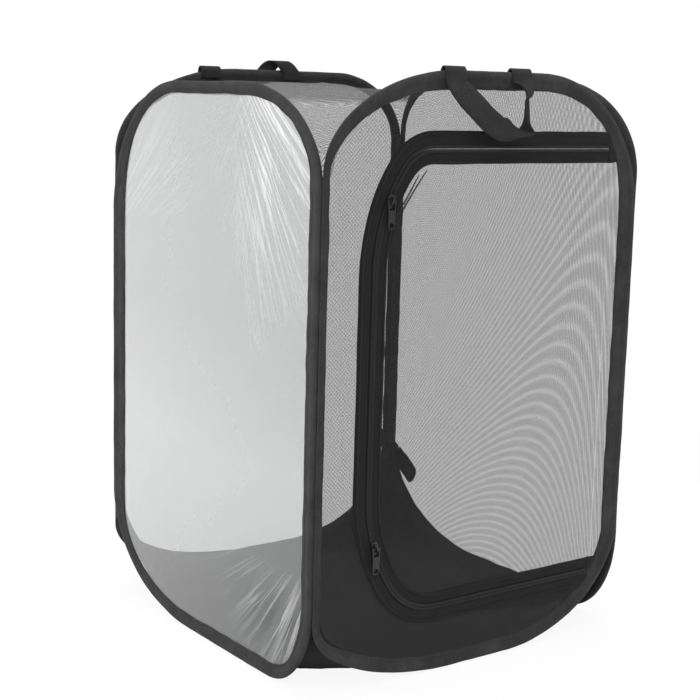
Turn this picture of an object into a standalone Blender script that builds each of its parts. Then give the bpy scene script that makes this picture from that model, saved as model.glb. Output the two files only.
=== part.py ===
"""Pop-up mesh insect cage, standing open on its floor.

Four spring-wire loops, one to a side, run in fabric bindings that are sewn together in
pairs down the corners. The side panels are held in the bindings' seams: a clear film on
the left, net at the back and right, and net with a zipped door at the front. A net roof
and a cloth floor are sewn to the loops' top and bottom runs and reach into the rounded
corners. X runs along the front, Y towards the back, Z up, and the floor's middle is the
origin.
"""

import math

import bmesh
import bpy
import numpy as np
from mathutils import Matrix, Vector

# Overall sizes of the cage
PANEL_SPAN = 0.3962
FRONT_HEIGHT = 0.5834
SIDE_HEIGHT = 0.5678

# Corner radii of the wire loops, horizontal then vertical, seen from outside the cage.
# The back loop mirrors the front one, and the left loop mirrors the right one, apart from
# the tighter top corner where the back and right loops meet.
FRONT_RADII = {
    "top_left": (0.148, 0.090),
    "top_right": (0.134, 0.133),
    "bottom_right": (0.153, 0.114),
    "bottom_left": (0.166, 0.067),
}
SIDE_RADII = {
    "top_left": (0.123, 0.090),
    "top_right": (0.130, 0.139),
    "bottom_right": (0.165, 0.1135),
    "bottom_left": (0.067, 0.090),
}
TIGHT_BACK_CORNER = (0.095, 0.080)
TIGHT_SIDE_CORNER = (0.054, 0.060)
LARGEST_CORNER = 0.48

# Clearance between pieces that touch or are sewn together
CLEARANCE = 0.0003
CORNER_CLEARANCE = 0.0004

# Binding: a folded tape round the wire, closed by a flat sewn seam
BINDING_HALF_WIDTH = 0.0050
BINDING_HALF_DEPTH = 0.0032
BINDING_CLOTH = 0.0006
SEAM_REACH = 0.0095
PANEL_GRIP = 0.0030
CORNER_TAPE_WIDTH = 0.0124

# Spring wire and the crimped ferrule that joins its ends
WIRE_RADIUS = 0.0015
WIRE_END_GAP = 0.0010
FERRULE_RADIUS = 0.0023
FERRULE_LENGTH = 0.0240

# Net, film and cloth
SHEET = 0.0005
FLOOR_CLOTH = 0.0006
ROOF_SEAM_INSET = 0.0080
ROOF_SLACK = 0.02
GUSSET_DROP = 0.0250
CLOSEST_LINES = 0.0040
FLOOR_DRAPE = 21.0

# Zip: a coil on each tape's edge, run round three sides of the door
ZIP_FROM_LEFT = 0.0519
ZIP_FROM_TOP = 0.0674
ZIP_FROM_BOTTOM = 0.0620
ZIP_SWEEP_RADIUS = 0.165
ZIP_SWEEP_ANGLE = math.radians(35)
ZIP_TOP_RADIUS = 0.043
ZIP_BOTTOM_RADIUS = 0.066
TAPE_REACH = 0.0170
TAPE_THICKNESS = 0.0007
TAPE_EDGE = 0.0012
COIL_NEAR = 0.0007
COIL_FAR = 0.0030
COIL_HEIGHT = 0.0019
NET_FROM_ZIP = 0.0060

# Door fold, a straight line between the ends of the zip
FOLD_FROM_RIGHT = 0.0319
FOLD_GAP = 0.0002
TAPE_FROM_FOLD = 0.0040
COIL_FROM_FOLD = 0.0080

# Zip sliders and their pulls
SLIDER_LENGTH = 0.0125
SLIDER_HEAD = 0.0092
SLIDER_TAIL = 0.0078
SLIDER_PLATE = 0.0012
SLIDER_WALL = 0.0011
SLIDER_WEB = 0.0007
SLIDER_WEB_LENGTH = 0.0050
BAIL_LENGTH = 0.0074
BAIL_WIDTH = 0.0022
BAIL_BAR = 0.0012
PULL_BAR = 0.0015
PULL_LENGTH = 0.0260
PULL_WIDTH = 0.0100
PULL_RAIL = 0.0018
PULL_HOLE_RADIUS = 0.0026
UPPER_SLIDER_ANGLE = math.radians(23.6)
LOWER_SLIDER_ANGLE = math.radians(18.0)

# Webbing handles and tie strap
STRAP_WIDTH = 0.0250
STRAP_THICKNESS = 0.0015
CREST_END = math.radians(105)
FRONT_CREST_LIFT = 0.0018
BACK_CREST_LIFT = 0.0050
STRAP_INNER_TAIL = 0.0062
FRONT_HANDLE_LEFT = -0.0540
FRONT_HANDLE_RIGHT = 0.0280
BACK_HANDLE_LEFT = -0.0790
BACK_HANDLE_RIGHT = -0.0040
BACK_HANDLE_LEAN = 0.0340
TIE_WIDTH = 0.0250
TIE_HEIGHT = 0.1275
TIE_DROP = 0.0240
TIE_LIFT = 0.0030
TIE_LENGTH = 0.0450
TIE_SLOPE = math.radians(33)

# Facets
ARC_STEPS = 8
RIM_STEPS = 5
RUN_STEPS = 4
STRAP_STEPS = 3
CREST_STEPS = 4
LOOP_CREST_STEPS = 3
LEVEL_ROUNDS = 40
RELAX_ROUNDS = 4000

# Colours as red, green and blue, then roughness and metallic value
BLACK_CLOTH = ((0.055, 0.055, 0.058), 0.85, 0.0)
BLACK_NET = ((0.060, 0.060, 0.064), 0.80, 0.0)
BLACK_WEBBING = ((0.030, 0.030, 0.032), 0.80, 0.0)
BLACK_TAPE = ((0.022, 0.022, 0.024), 0.75, 0.0)
BLACK_COIL = ((0.040, 0.040, 0.042), 0.40, 0.0)
BLACK_ENAMEL = ((0.018, 0.018, 0.019), 0.35, 0.6)
SPRING_STEEL = ((0.50, 0.50, 0.52), 0.30, 1.0)
CLEAR_FILM = ((0.85, 0.86, 0.87), 0.12, 0.0)

# Values worked out from the sizes above
HALF_SPAN = PANEL_SPAN / 2
CORNER_REACH = math.hypot(BINDING_HALF_WIDTH, BINDING_HALF_DEPTH) / math.sqrt(2)
RUN_STEP = (2 * CORNER_REACH + CORNER_CLEARANCE) / math.sqrt(2)
HALF_RUN = HALF_SPAN - RUN_STEP
WIRE_LOW = BINDING_HALF_WIDTH
SEAM_HALF_GAP = SHEET / 2 + CLEARANCE
SEAM_HALF_DEPTH = SEAM_HALF_GAP + BINDING_CLOTH
PANEL_INSET = SEAM_REACH - PANEL_GRIP
RIM_PLANE = HALF_SPAN - SEAM_HALF_DEPTH - 2 * CLEARANCE
CHAIN_OUT = SHEET / 2 + CLEARANCE + TAPE_THICKNESS / 2
COIL_LOW = TAPE_THICKNESS / 2 + CLEARANCE
PLATE_LOW = COIL_LOW + COIL_HEIGHT + CLEARANCE
PLATE_HIGH = PLATE_LOW + SLIDER_PLATE
BACK_PLATE_HIGH = -TAPE_THICKNESS / 2 - CLEARANCE
BACK_PLATE_LOW = BACK_PLATE_HIGH - SLIDER_WALL
PULL_AXIS_HEIGHT = PLATE_HIGH + CLEARANCE + PULL_BAR / math.sqrt(2)
BAIL_INNER_HEIGHT = 2 * PULL_AXIS_HEIGHT - PLATE_HIGH
BAIL_HEIGHT = BAIL_INNER_HEIGHT + BAIL_BAR
STRAP_OUT = BINDING_HALF_DEPTH + CLEARANCE + STRAP_THICKNESS / 2
STRAP_UP = BINDING_HALF_WIDTH + CLEARANCE + STRAP_THICKNESS / 2
FOLD_X = HALF_RUN - FOLD_FROM_RIGHT
ZIP_X = -HALF_RUN + ZIP_FROM_LEFT


def mirrored(radii):
    """The same loop seen from its other side."""
    swap = {"left": "right", "right": "left"}
    return {
        f"{name.split('_')[0]}_{swap[name.split('_')[1]]}": value
        for name, value in radii.items()
    }


# Each panel's turn about Z, outer height and corner radii, seen from outside
PANELS = {
    "front": (0.0, FRONT_HEIGHT, FRONT_RADII),
    "right": (math.pi / 2, SIDE_HEIGHT, {**SIDE_RADII, "top_right": TIGHT_SIDE_CORNER}),
    "back": (math.pi, FRONT_HEIGHT, {**mirrored(FRONT_RADII), "top_left": TIGHT_BACK_CORNER}),
    "left": (-math.pi / 2, SIDE_HEIGHT, mirrored(SIDE_RADII)),
}

# Each corner's way along X and Y, then the panels that meet there. The first faces along Y
# and the second along X. With each comes the side of it, seen from outside, that is here.
CORNERS = {
    "front_left": ((-1, -1), ("front", "left"), ("left", "right")),
    "front_right": ((1, -1), ("front", "right"), ("right", "left")),
    "back_right": ((1, 1), ("back", "left"), ("right", "right")),
    "back_left": ((-1, 1), ("back", "right"), ("left", "left")),
}


def clear_scene():
    for obj in list(bpy.data.objects):
        bpy.data.objects.remove(obj, do_unlink=True)


def new_collection(name):
    made = bpy.data.collections.new(name)
    bpy.context.scene.collection.children.link(made)
    return made


def new_material(name, finish):
    colour, roughness, metallic = finish
    made = bpy.data.materials.new(name)
    made.use_nodes = True
    shader = made.node_tree.nodes["Principled BSDF"]
    shader.inputs["Base Color"].default_value = (*colour, 1.0)
    shader.inputs["Roughness"].default_value = roughness
    shader.inputs["Metallic"].default_value = metallic
    return made


def new_piece(name, data, finish, matrix=None, parent=None):
    """A named sub-part with its own material, in the cage's collection."""
    obj = bpy.data.objects.new(name, data)
    data.materials.append(new_material(name, finish))
    CAGE.objects.link(obj)
    obj.matrix_world = matrix or Matrix.Identity(4)
    if parent:
        obj.parent = parent
        obj.matrix_parent_inverse = parent.matrix_world.inverted()
    return obj


def new_pivot(name, location, parent=None):
    """An empty on a joint's axis, which carries what moves with it."""
    pivot = bpy.data.objects.new(name, None)
    pivot.empty_display_size = 0.02
    CAGE.objects.link(pivot)
    pivot.matrix_world = Matrix.Translation(location)
    if parent:
        pivot.parent = parent
        pivot.matrix_parent_inverse = parent.matrix_world.inverted()
        bpy.context.view_layer.update()
    return pivot


def flat_curve(name, splines, cyclic=True):
    """A curve in its own XY plane from lists of points."""
    data = bpy.data.curves.new(name, "CURVE")
    data.dimensions = "2D"
    data.fill_mode = "BOTH"
    for points in splines:
        spline = data.splines.new("POLY")
        spline.points.add(len(points) - 1)
        for point, (x, y) in zip(spline.points, points):
            point.co = (x, y, 0.0, 1.0)
        spline.use_cyclic_u = cyclic
    return data


def sheet_curve(name, outlines, thickness):
    """A flat sheet: an outline, any holes in it, and a thickness."""
    data = flat_curve(name, outlines)
    data.extrude = thickness / 2
    return data


def swept_curve(name, path, section, cyclic=True):
    """A section carried along a flat path. Its x runs into a loop, or to an open path's right."""
    turns = zip(section, section[1:] + section[:1])
    clockwise = sum(a[0] * b[1] - b[0] * a[1] for a, b in turns) < 0
    outline = flat_curve(f"{name}_section", [section if clockwise else section[::-1]])
    guide = bpy.data.objects.new(f"{name}_section", outline)
    GUIDES.objects.link(guide)
    guide.hide_render = True
    guide.display_type = "WIRE"
    data = flat_curve(name, [path], cyclic)
    data.fill_mode = "NONE"
    data.bevel_mode = "OBJECT"
    data.bevel_object = guide
    data.use_fill_caps = not cyclic
    return data


def solid_mesh(name, outlines, low, high, turn=None):
    """A flat outline as a welded mesh between two heights, ready to cut or join."""
    data = sheet_curve(name, outlines, high - low)
    source = bpy.data.objects.new(name, data)
    GUIDES.objects.link(source)
    graph = bpy.context.evaluated_depsgraph_get()
    mesh = bpy.data.meshes.new_from_object(source.evaluated_get(graph))
    bpy.data.objects.remove(source, do_unlink=True)
    bpy.data.curves.remove(data)
    work = bmesh.new()
    work.from_mesh(mesh)
    bmesh.ops.remove_doubles(work, verts=work.verts, dist=1e-6)
    bmesh.ops.translate(work, verts=work.verts, vec=(0, 0, (low + high) / 2))
    if turn:
        bmesh.ops.transform(work, verts=work.verts, matrix=turn)
    bmesh.ops.recalc_face_normals(work, faces=work.faces)
    work.to_mesh(mesh)
    work.free()
    return mesh


def add_boolean(obj, mesh, operation):
    """Joins a mesh in the piece's own coordinates to it, cuts it out, or keeps what both hold."""
    helper = bpy.data.objects.new(f"{obj.name}_{operation.lower()}", mesh)
    GUIDES.objects.link(helper)
    helper.hide_render = True
    helper.display_type = "WIRE"
    helper.matrix_world = obj.matrix_world
    modifier = obj.modifiers.new(operation.title(), "BOOLEAN")
    modifier.operation = operation
    modifier.object = helper
    modifier.solver = "EXACT"


def smooth(obj, angle=math.radians(40)):
    """Shades the piece smooth, apart from its sharp edges."""
    if obj.type == "MESH":
        obj.data.shade_smooth()
        obj.data.set_sharp_from_angle(angle=angle)
    else:
        for spline in obj.data.splines:
            spline.use_smooth = True


def panel_matrix(side, out=0.0):
    """Places a flat outline on a panel, with its +Z facing out of the cage."""
    yaw = PANELS[side][0]
    turn = Matrix.Rotation(yaw, 4, "Z")
    return turn @ Matrix.Translation((0, -HALF_SPAN - out, 0)) @ Matrix.Rotation(
        math.pi / 2, 4, "X"
    )


def fitted_radii(radii, width, height):
    """Corner radii held to what the loop's width and height leave room for."""
    return {
        name: (min(rx, LARGEST_CORNER * width), min(rz, LARGEST_CORNER * height))
        for name, (rx, rz) in radii.items()
    }


def corner_arcs(side, inset):
    """The four corner arcs of a panel's loop, counterclockwise from the bottom right."""
    _, height, radii = PANELS[side]
    top = height - BINDING_HALF_WIDTH
    fitted = fitted_radii(radii, 2 * HALF_RUN, top - WIRE_LOW)
    arcs = []
    corners = ("bottom_right", "top_right", "top_left", "bottom_left")
    for quarter, name in enumerate(corners):
        rx, rz = fitted[name]
        x = HALF_RUN - rx if name.endswith("right") else rx - HALF_RUN
        z = top - rz if name.startswith("top") else WIRE_LOW + rz
        arc = []
        for step in range(ARC_STEPS + 1):
            angle = math.pi / 2 * (quarter - 1 + step / ARC_STEPS)
            across, up = math.cos(angle), math.sin(angle)
            normal = inset / math.hypot(rz * across, rx * up)
            arc.append((x + across * (rx - rz * normal), z + up * (rz - rx * normal)))
        arcs.append(arc)
    return arcs


def loop_outline(side, inset=0.0):
    """A panel's wire loop, or a curve that far inside it, from its bottom middle."""
    points = [point for arc in corner_arcs(side, inset) for point in arc]
    return [(0.0, WIRE_LOW + inset)] + points


def rim(side, upper, inset):
    """The top or bottom edge of a panel, from left to right as seen from outside."""
    arcs = corner_arcs(side, inset)
    first, last = (arcs[2], arcs[1]) if upper else (arcs[3], arcs[0])
    left = first[::-1] if upper else first
    right = last[::-1] if upper else last
    return left, right


def rim_line(side, upper, inset):
    """Even picks from a rim's two corners and the run between them."""
    left, right = rim(side, upper, inset)
    picks = np.linspace(0, ARC_STEPS, RIM_STEPS).round().astype(int)
    run = [
        left[-1][0] + (right[0][0] - left[-1][0]) * k / RUN_STEPS for k in range(1, RUN_STEPS)
    ]
    return [left[k][0] for k in picks] + run + [right[k][0] for k in picks]


def rim_height(side, upper, inset, places):
    """Heights of a panel's rim at places along X or Y."""
    left, right = rim(side, upper, inset)
    points = left + right
    flip = -1 if side in ("back", "left") else 1
    return np.interp(flip * np.array(places), [x for x, _ in points], [z for _, z in points])


def merged(*lines):
    """All the lines' values in order, without any that crowd the one before."""
    kept = []
    for value in sorted(value for line in lines for value in line):
        if not kept or value - kept[-1] > CLOSEST_LINES:
            kept.append(value)
    return kept


def upright(side, hand):
    """Lowest and highest point of the straight upright run on one side of a panel."""
    arcs = corner_arcs(side, 0.0)
    low, high = (arcs[0][-1], arcs[1][0]) if hand == "right" else (arcs[3][0], arcs[2][-1])
    return low[1], high[1]


def binding_section():
    """Cross-section of a binding: x runs inwards from the wire, y out of the panel."""
    points = [(SEAM_REACH, SEAM_HALF_DEPTH), (BINDING_HALF_WIDTH, SEAM_HALF_DEPTH)]
    for degrees in (48, 90, 135, 180, 225, 270, 312):
        angle = math.radians(degrees)
        across = BINDING_HALF_WIDTH * math.cos(angle)
        points.append((across, BINDING_HALF_DEPTH * math.sin(angle)))
    points += [(BINDING_HALF_WIDTH, -SEAM_HALF_DEPTH), (SEAM_REACH, -SEAM_HALF_DEPTH)]
    points += [(SEAM_REACH, -SEAM_HALF_GAP)]
    inner_width = BINDING_HALF_WIDTH - BINDING_CLOTH
    inner_depth = BINDING_HALF_DEPTH - BINDING_CLOTH
    points.append((inner_width * 0.97, -SEAM_HALF_GAP))
    for degrees in (315, 270, 225, 180, 135, 90, 45):
        angle = math.radians(degrees)
        points.append((inner_width * math.cos(angle), inner_depth * math.sin(angle)))
    points += [(inner_width * 0.97, SEAM_HALF_GAP), (SEAM_REACH, SEAM_HALF_GAP)]
    return points


def make_frame():
    """Wire loop, ferrule and binding of each side."""
    section = binding_section()
    for side in PANELS:
        matrix = panel_matrix(side)
        outline = loop_outline(side)
        binding = swept_curve(f"binding_{side}", outline, section)
        smooth(new_piece(f"binding_{side}", binding, BLACK_CLOTH, matrix))
        ends = [(WIRE_END_GAP / 2, WIRE_LOW)], [(-WIRE_END_GAP / 2, WIRE_LOW)]
        wire = flat_curve(f"wire_loop_{side}", [ends[0] + outline[1:] + ends[1]], False)
        wire.fill_mode = "NONE"
        wire.bevel_depth = WIRE_RADIUS
        wire.bevel_resolution = 1
        wire.use_fill_caps = True
        smooth(new_piece(f"wire_loop_{side}", wire, SPRING_STEEL, matrix))
        make_ferrule(side, matrix)


def make_ferrule(side, matrix):
    """A short tube over the two ends of the wire, turned from its wall's section."""
    mesh = bpy.data.meshes.new(f"wire_ferrule_{side}")
    work = bmesh.new()
    bore = WIRE_RADIUS + CLEARANCE
    half = FERRULE_LENGTH / 2
    wall = [(FERRULE_RADIUS, half), (FERRULE_RADIUS, -half), (bore, -half), (bore, half)]
    corners = [work.verts.new((radius, 0, along)) for radius, along in wall]
    for k, corner in enumerate(corners):
        work.edges.new((corner, corners[(k + 1) % len(corners)]))
    work.to_mesh(mesh)
    work.free()
    place = matrix @ Matrix.Translation((0, WIRE_LOW, 0)) @ Matrix.Rotation(math.pi / 2, 4, "Y")
    ferrule = new_piece(f"wire_ferrule_{side}", mesh, SPRING_STEEL, place)
    turn = ferrule.modifiers.new("Turn", "SCREW")
    turn.steps = 12
    turn.render_steps = 12
    turn.use_merge_vertices = True
    turn.merge_threshold = 1e-5
    turn.use_smooth_shade = True


def make_corner_tapes():
    """A tape down the inside of each corner, sewn over the two bindings that meet there."""
    diagonal = (HALF_SPAN + HALF_RUN) / math.sqrt(2) - CORNER_REACH - CLEARANCE - BINDING_CLOTH / 2
    place = diagonal / math.sqrt(2)
    half = CORNER_TAPE_WIDTH / 2
    for name, ((sign_x, sign_y), *panels) in CORNERS.items():
        runs = [upright(side, hand) for side, hand in panels]
        low = max(run[0] for run in runs)
        high = min(run[1] for run in runs)
        tape = box_mesh(
            f"corner_tape_{name}", (-half, -BINDING_CLOTH / 2, low), (half, BINDING_CLOTH / 2, high)
        )
        turn = Matrix.Rotation(math.atan2(sign_y, sign_x) + math.pi / 2, 4, "Z")
        matrix = Matrix.Translation((sign_x * place, sign_y * place, 0)) @ turn
        new_piece(f"corner_tape_{name}", tape, BLACK_CLOTH, matrix)


def make_side_panels():
    """The plain panels: film on the left, net at the back and right."""
    sheets = {
        "left": ("clear_window", CLEAR_FILM),
        "back": ("back_mesh", BLACK_NET),
        "right": ("right_mesh", BLACK_NET),
    }
    for side, (name, finish) in sheets.items():
        outline = loop_outline(side, PANEL_INSET)
        new_piece(name, sheet_curve(name, [outline], SHEET), finish, panel_matrix(side))


def membrane(xs, ys, edges, load, lowest):
    """Heights of a cloth held at its edges. It settles where tension carries the load."""
    z = edges.copy()
    east = np.diff(xs)[1:, None]
    west = np.diff(xs)[:-1, None]
    north = np.diff(ys)[None, 1:]
    south = np.diff(ys)[None, :-1]
    pull = [
        2 / ((east + west) * east),
        2 / ((east + west) * west),
        2 / ((north + south) * north),
        2 / ((north + south) * south),
    ]
    for _ in range(RELAX_ROUNDS):
        near = (z[2:, 1:-1], z[:-2, 1:-1], z[1:-1, 2:], z[1:-1, :-2])
        moved = sum(w * value for w, value in zip(pull, near)) - load
        z[1:-1, 1:-1] = np.maximum(moved / sum(pull), lowest)
    return z


def gusset_reach(panel, levels):
    """How far a roof corner's edge on a panel is from the next panel, at some heights."""
    side, hand = panel
    arc = rim(side, True, ROOF_SEAM_INSET)[1 if hand == "right" else 0]
    steps = sorted((z, RIM_PLANE - abs(x)) for x, z in arc)
    heights = [z for z, _ in steps] + [steps[-1][0] + CLEARANCE]
    return np.interp(levels, heights, [reach for _, reach in steps] + [PANEL_SPAN])


def gusset_heights(xs, ys):
    """Heights of the cloth drawn straight across the roof's corners, level by level."""
    lowest = np.full((len(xs), len(ys)), FRONT_HEIGHT)
    for (sign_x, sign_y), first, second in CORNERS.values():
        from_side = np.maximum(RIM_PLANE - sign_x * xs, 0)[:, None]
        from_end = np.maximum(RIM_PLANE - sign_y * ys, 0)[None, :]
        low = np.full(lowest.shape, min(upright(*first)[1], upright(*second)[1]))
        high = np.full(lowest.shape, FRONT_HEIGHT)
        for _ in range(LEVEL_ROUNDS):
            middle = (low + high) / 2
            share = from_side / gusset_reach(first, middle) + from_end / gusset_reach(second, middle)
            low = np.where(share > 1, middle, low)
            high = np.where(share > 1, high, middle)
        lowest = np.minimum(lowest, high)
    return lowest


def make_cover(name, upper, load, thickness, finish):
    """The roof or the floor: cloth between the seams of the four loops."""
    lines = {side: rim_line(side, upper, ROOF_SEAM_INSET) for side in PANELS}
    across = merged(lines["front"], [-x for x in lines["back"]])
    along = merged(lines["right"], [-y for y in lines["left"]])
    xs = np.array([-RIM_PLANE] + across + [RIM_PLANE])
    ys = np.array([-RIM_PLANE] + along + [RIM_PLANE])
    edges = np.zeros((len(xs), len(ys)))
    edges[:, 0] = rim_height("front", upper, ROOF_SEAM_INSET, xs)
    edges[:, -1] = rim_height("back", upper, ROOF_SEAM_INSET, xs)
    for i, side in ((0, "left"), (-1, "right")):
        heights = rim_height(side, upper, ROOF_SEAM_INSET, ys)
        edges[i, 1:-1] = heights[1:-1]
        edges[i, 0] = (edges[i, 0] + heights[0]) / 2
        edges[i, -1] = (edges[i, -1] + heights[-1]) / 2
    inside = edges[1:-1, 1:-1]
    inside[:] = np.mean(edges[:, 0])
    if upper:
        flat = membrane(xs, ys, np.maximum(edges, SIDE_HEIGHT - GUSSET_DROP), load, -1.0)
        edges[1:-1, 1:-1] = np.minimum(flat, gusset_heights(xs, ys))[1:-1, 1:-1]
        heights = edges
    else:
        heights = membrane(xs, ys, edges, load, 0.0)
    work = bmesh.new()
    bmesh.ops.create_grid(work, x_segments=len(xs) - 1, y_segments=len(ys) - 1, size=1)
    corner = HALF_RUN - PANEL_INSET / 5
    for vert in work.verts:
        i = round((vert.co.x + 1) / 2 * (len(xs) - 1))
        j = round((vert.co.y + 1) / 2 * (len(ys) - 1))
        at_corner = i in (0, len(xs) - 1) and j in (0, len(ys) - 1)
        x = math.copysign(corner, xs[i]) if at_corner else xs[i]
        y = math.copysign(corner, ys[j]) if at_corner else ys[j]
        vert.co = (x, y, heights[i, j])
    mesh = bpy.data.meshes.new(name)
    work.to_mesh(mesh)
    work.free()
    cover = new_piece(name, mesh, finish)
    smooth(cover)
    shell = cover.modifiers.new("Cloth", "SOLIDIFY")
    shell.thickness = thickness
    shell.offset = -1.0 if upper else 1.0
    shell.use_even_offset = False


def arc_points(centre, radius, start, end, steps):
    """Points on an arc, both ends included."""
    return [
        (
            centre[0] + radius * math.cos(start + (end - start) * k / steps),
            centre[1] + radius * math.sin(start + (end - start) * k / steps),
        )
        for k in range(steps + 1)
    ]


def zip_corner(level, tight, upper):
    """A corner of the zip: a wide sweep off the upright run, then a tight bend."""
    sign = 1 if upper else -1
    rise = ZIP_SWEEP_RADIUS * math.sin(ZIP_SWEEP_ANGLE) + tight * (1 - math.sin(ZIP_SWEEP_ANGLE))
    wide_centre = (ZIP_X + ZIP_SWEEP_RADIUS, level - sign * rise)
    shift = ZIP_SWEEP_RADIUS - tight
    tight_centre = (
        wide_centre[0] - shift * math.cos(ZIP_SWEEP_ANGLE),
        wide_centre[1] + sign * shift * math.sin(ZIP_SWEEP_ANGLE),
    )
    turn = math.pi - sign * ZIP_SWEEP_ANGLE
    wide = arc_points(wide_centre, ZIP_SWEEP_RADIUS, math.pi, turn, 7)
    bend = arc_points(tight_centre, tight, turn, sign * math.pi / 2 + (0 if upper else 2 * math.pi), 6)
    return wide_centre, wide + bend[1:]


ZIP_TOP = FRONT_HEIGHT - BINDING_HALF_WIDTH - ZIP_FROM_TOP
ZIP_BOTTOM = WIRE_LOW + ZIP_FROM_BOTTOM
UPPER_SWEEP, UPPER_CORNER = zip_corner(ZIP_TOP, ZIP_TOP_RADIUS, True)
LOWER_SWEEP, LOWER_CORNER = zip_corner(ZIP_BOTTOM, ZIP_BOTTOM_RADIUS, False)


def zip_path(end_x):
    """The closing line of the zip, from its lower end, up the left and to its upper end."""
    ends = [(end_x, ZIP_BOTTOM)], [(end_x, ZIP_TOP)]
    return ends[0] + LOWER_CORNER[::-1] + UPPER_CORNER + ends[1]


def beside(path, distance):
    """The path moved to its right by a distance, or to its left by a negative one."""
    moved = []
    for k, (x, z) in enumerate(path):
        before = path[max(k - 1, 0)]
        after = path[min(k + 1, len(path) - 1)]
        along = Vector((after[0] - before[0], after[1] - before[1])).normalized()
        moved.append((x + along.y * distance, z - along.x * distance))
    return moved


def make_front_net():
    """The net round the door, in one ring, and the net of the door."""
    edge = beside(zip_path(FOLD_X + FOLD_GAP), -NET_FROM_ZIP)
    ring = sheet_curve("front_surround_mesh", [loop_outline("front", PANEL_INSET), edge], SHEET)
    new_piece("front_surround_mesh", ring, BLACK_NET, panel_matrix("front"))
    leaf = beside(zip_path(FOLD_X - FOLD_GAP), NET_FROM_ZIP)
    net = sheet_curve("door_mesh", [leaf], SHEET)
    new_piece("door_mesh", net, BLACK_NET, panel_matrix("front"), DOOR)


def make_zip():
    """A tape and a coil on the frame's side of the zip, and the same on the door's."""
    plane = panel_matrix("front", CHAIN_OUT)
    for name, sign, parent in (("frame", -1, None), ("door", 1, DOOR)):
        path = zip_path(FOLD_X - TAPE_FROM_FOLD)
        near = beside(path, sign * TAPE_EDGE)
        far = beside(path, sign * TAPE_REACH)
        mesh = solid_mesh(
            f"zip_tape_{name}", [near + far[::-1]], -TAPE_THICKNESS / 2, TAPE_THICKNESS / 2
        )
        tape = new_piece(f"zip_tape_{name}", mesh, BLACK_TAPE, plane, parent)
        if name == "frame":
            clear = loop_outline("front", SEAM_REACH + CLEARANCE)
            room = solid_mesh("tape_room", [clear], -TAPE_REACH, TAPE_REACH)
            add_boolean(tape, room, "INTERSECT")
        near, far = sign * COIL_NEAR, sign * COIL_FAR
        shoulder = COIL_LOW + COIL_HEIGHT * 0.6
        high = COIL_LOW + COIL_HEIGHT
        inset = (far - near) * 0.25
        section = [
            (near, COIL_LOW),
            (far, COIL_LOW),
            (far, shoulder),
            (far - inset, high),
            (near + inset, high),
            (near, shoulder),
        ]
        coil = swept_curve(f"zip_coil_{name}", zip_path(FOLD_X - COIL_FROM_FOLD), section, False)
        new_piece(f"zip_coil_{name}", coil, BLACK_COIL, plane, parent)


def box_mesh(name, low, high):
    """A box between two corners."""
    outline = [(low[0], low[1]), (high[0], low[1]), (high[0], high[1]), (low[0], high[1])]
    return solid_mesh(name, [outline], low[2], high[2])


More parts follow.
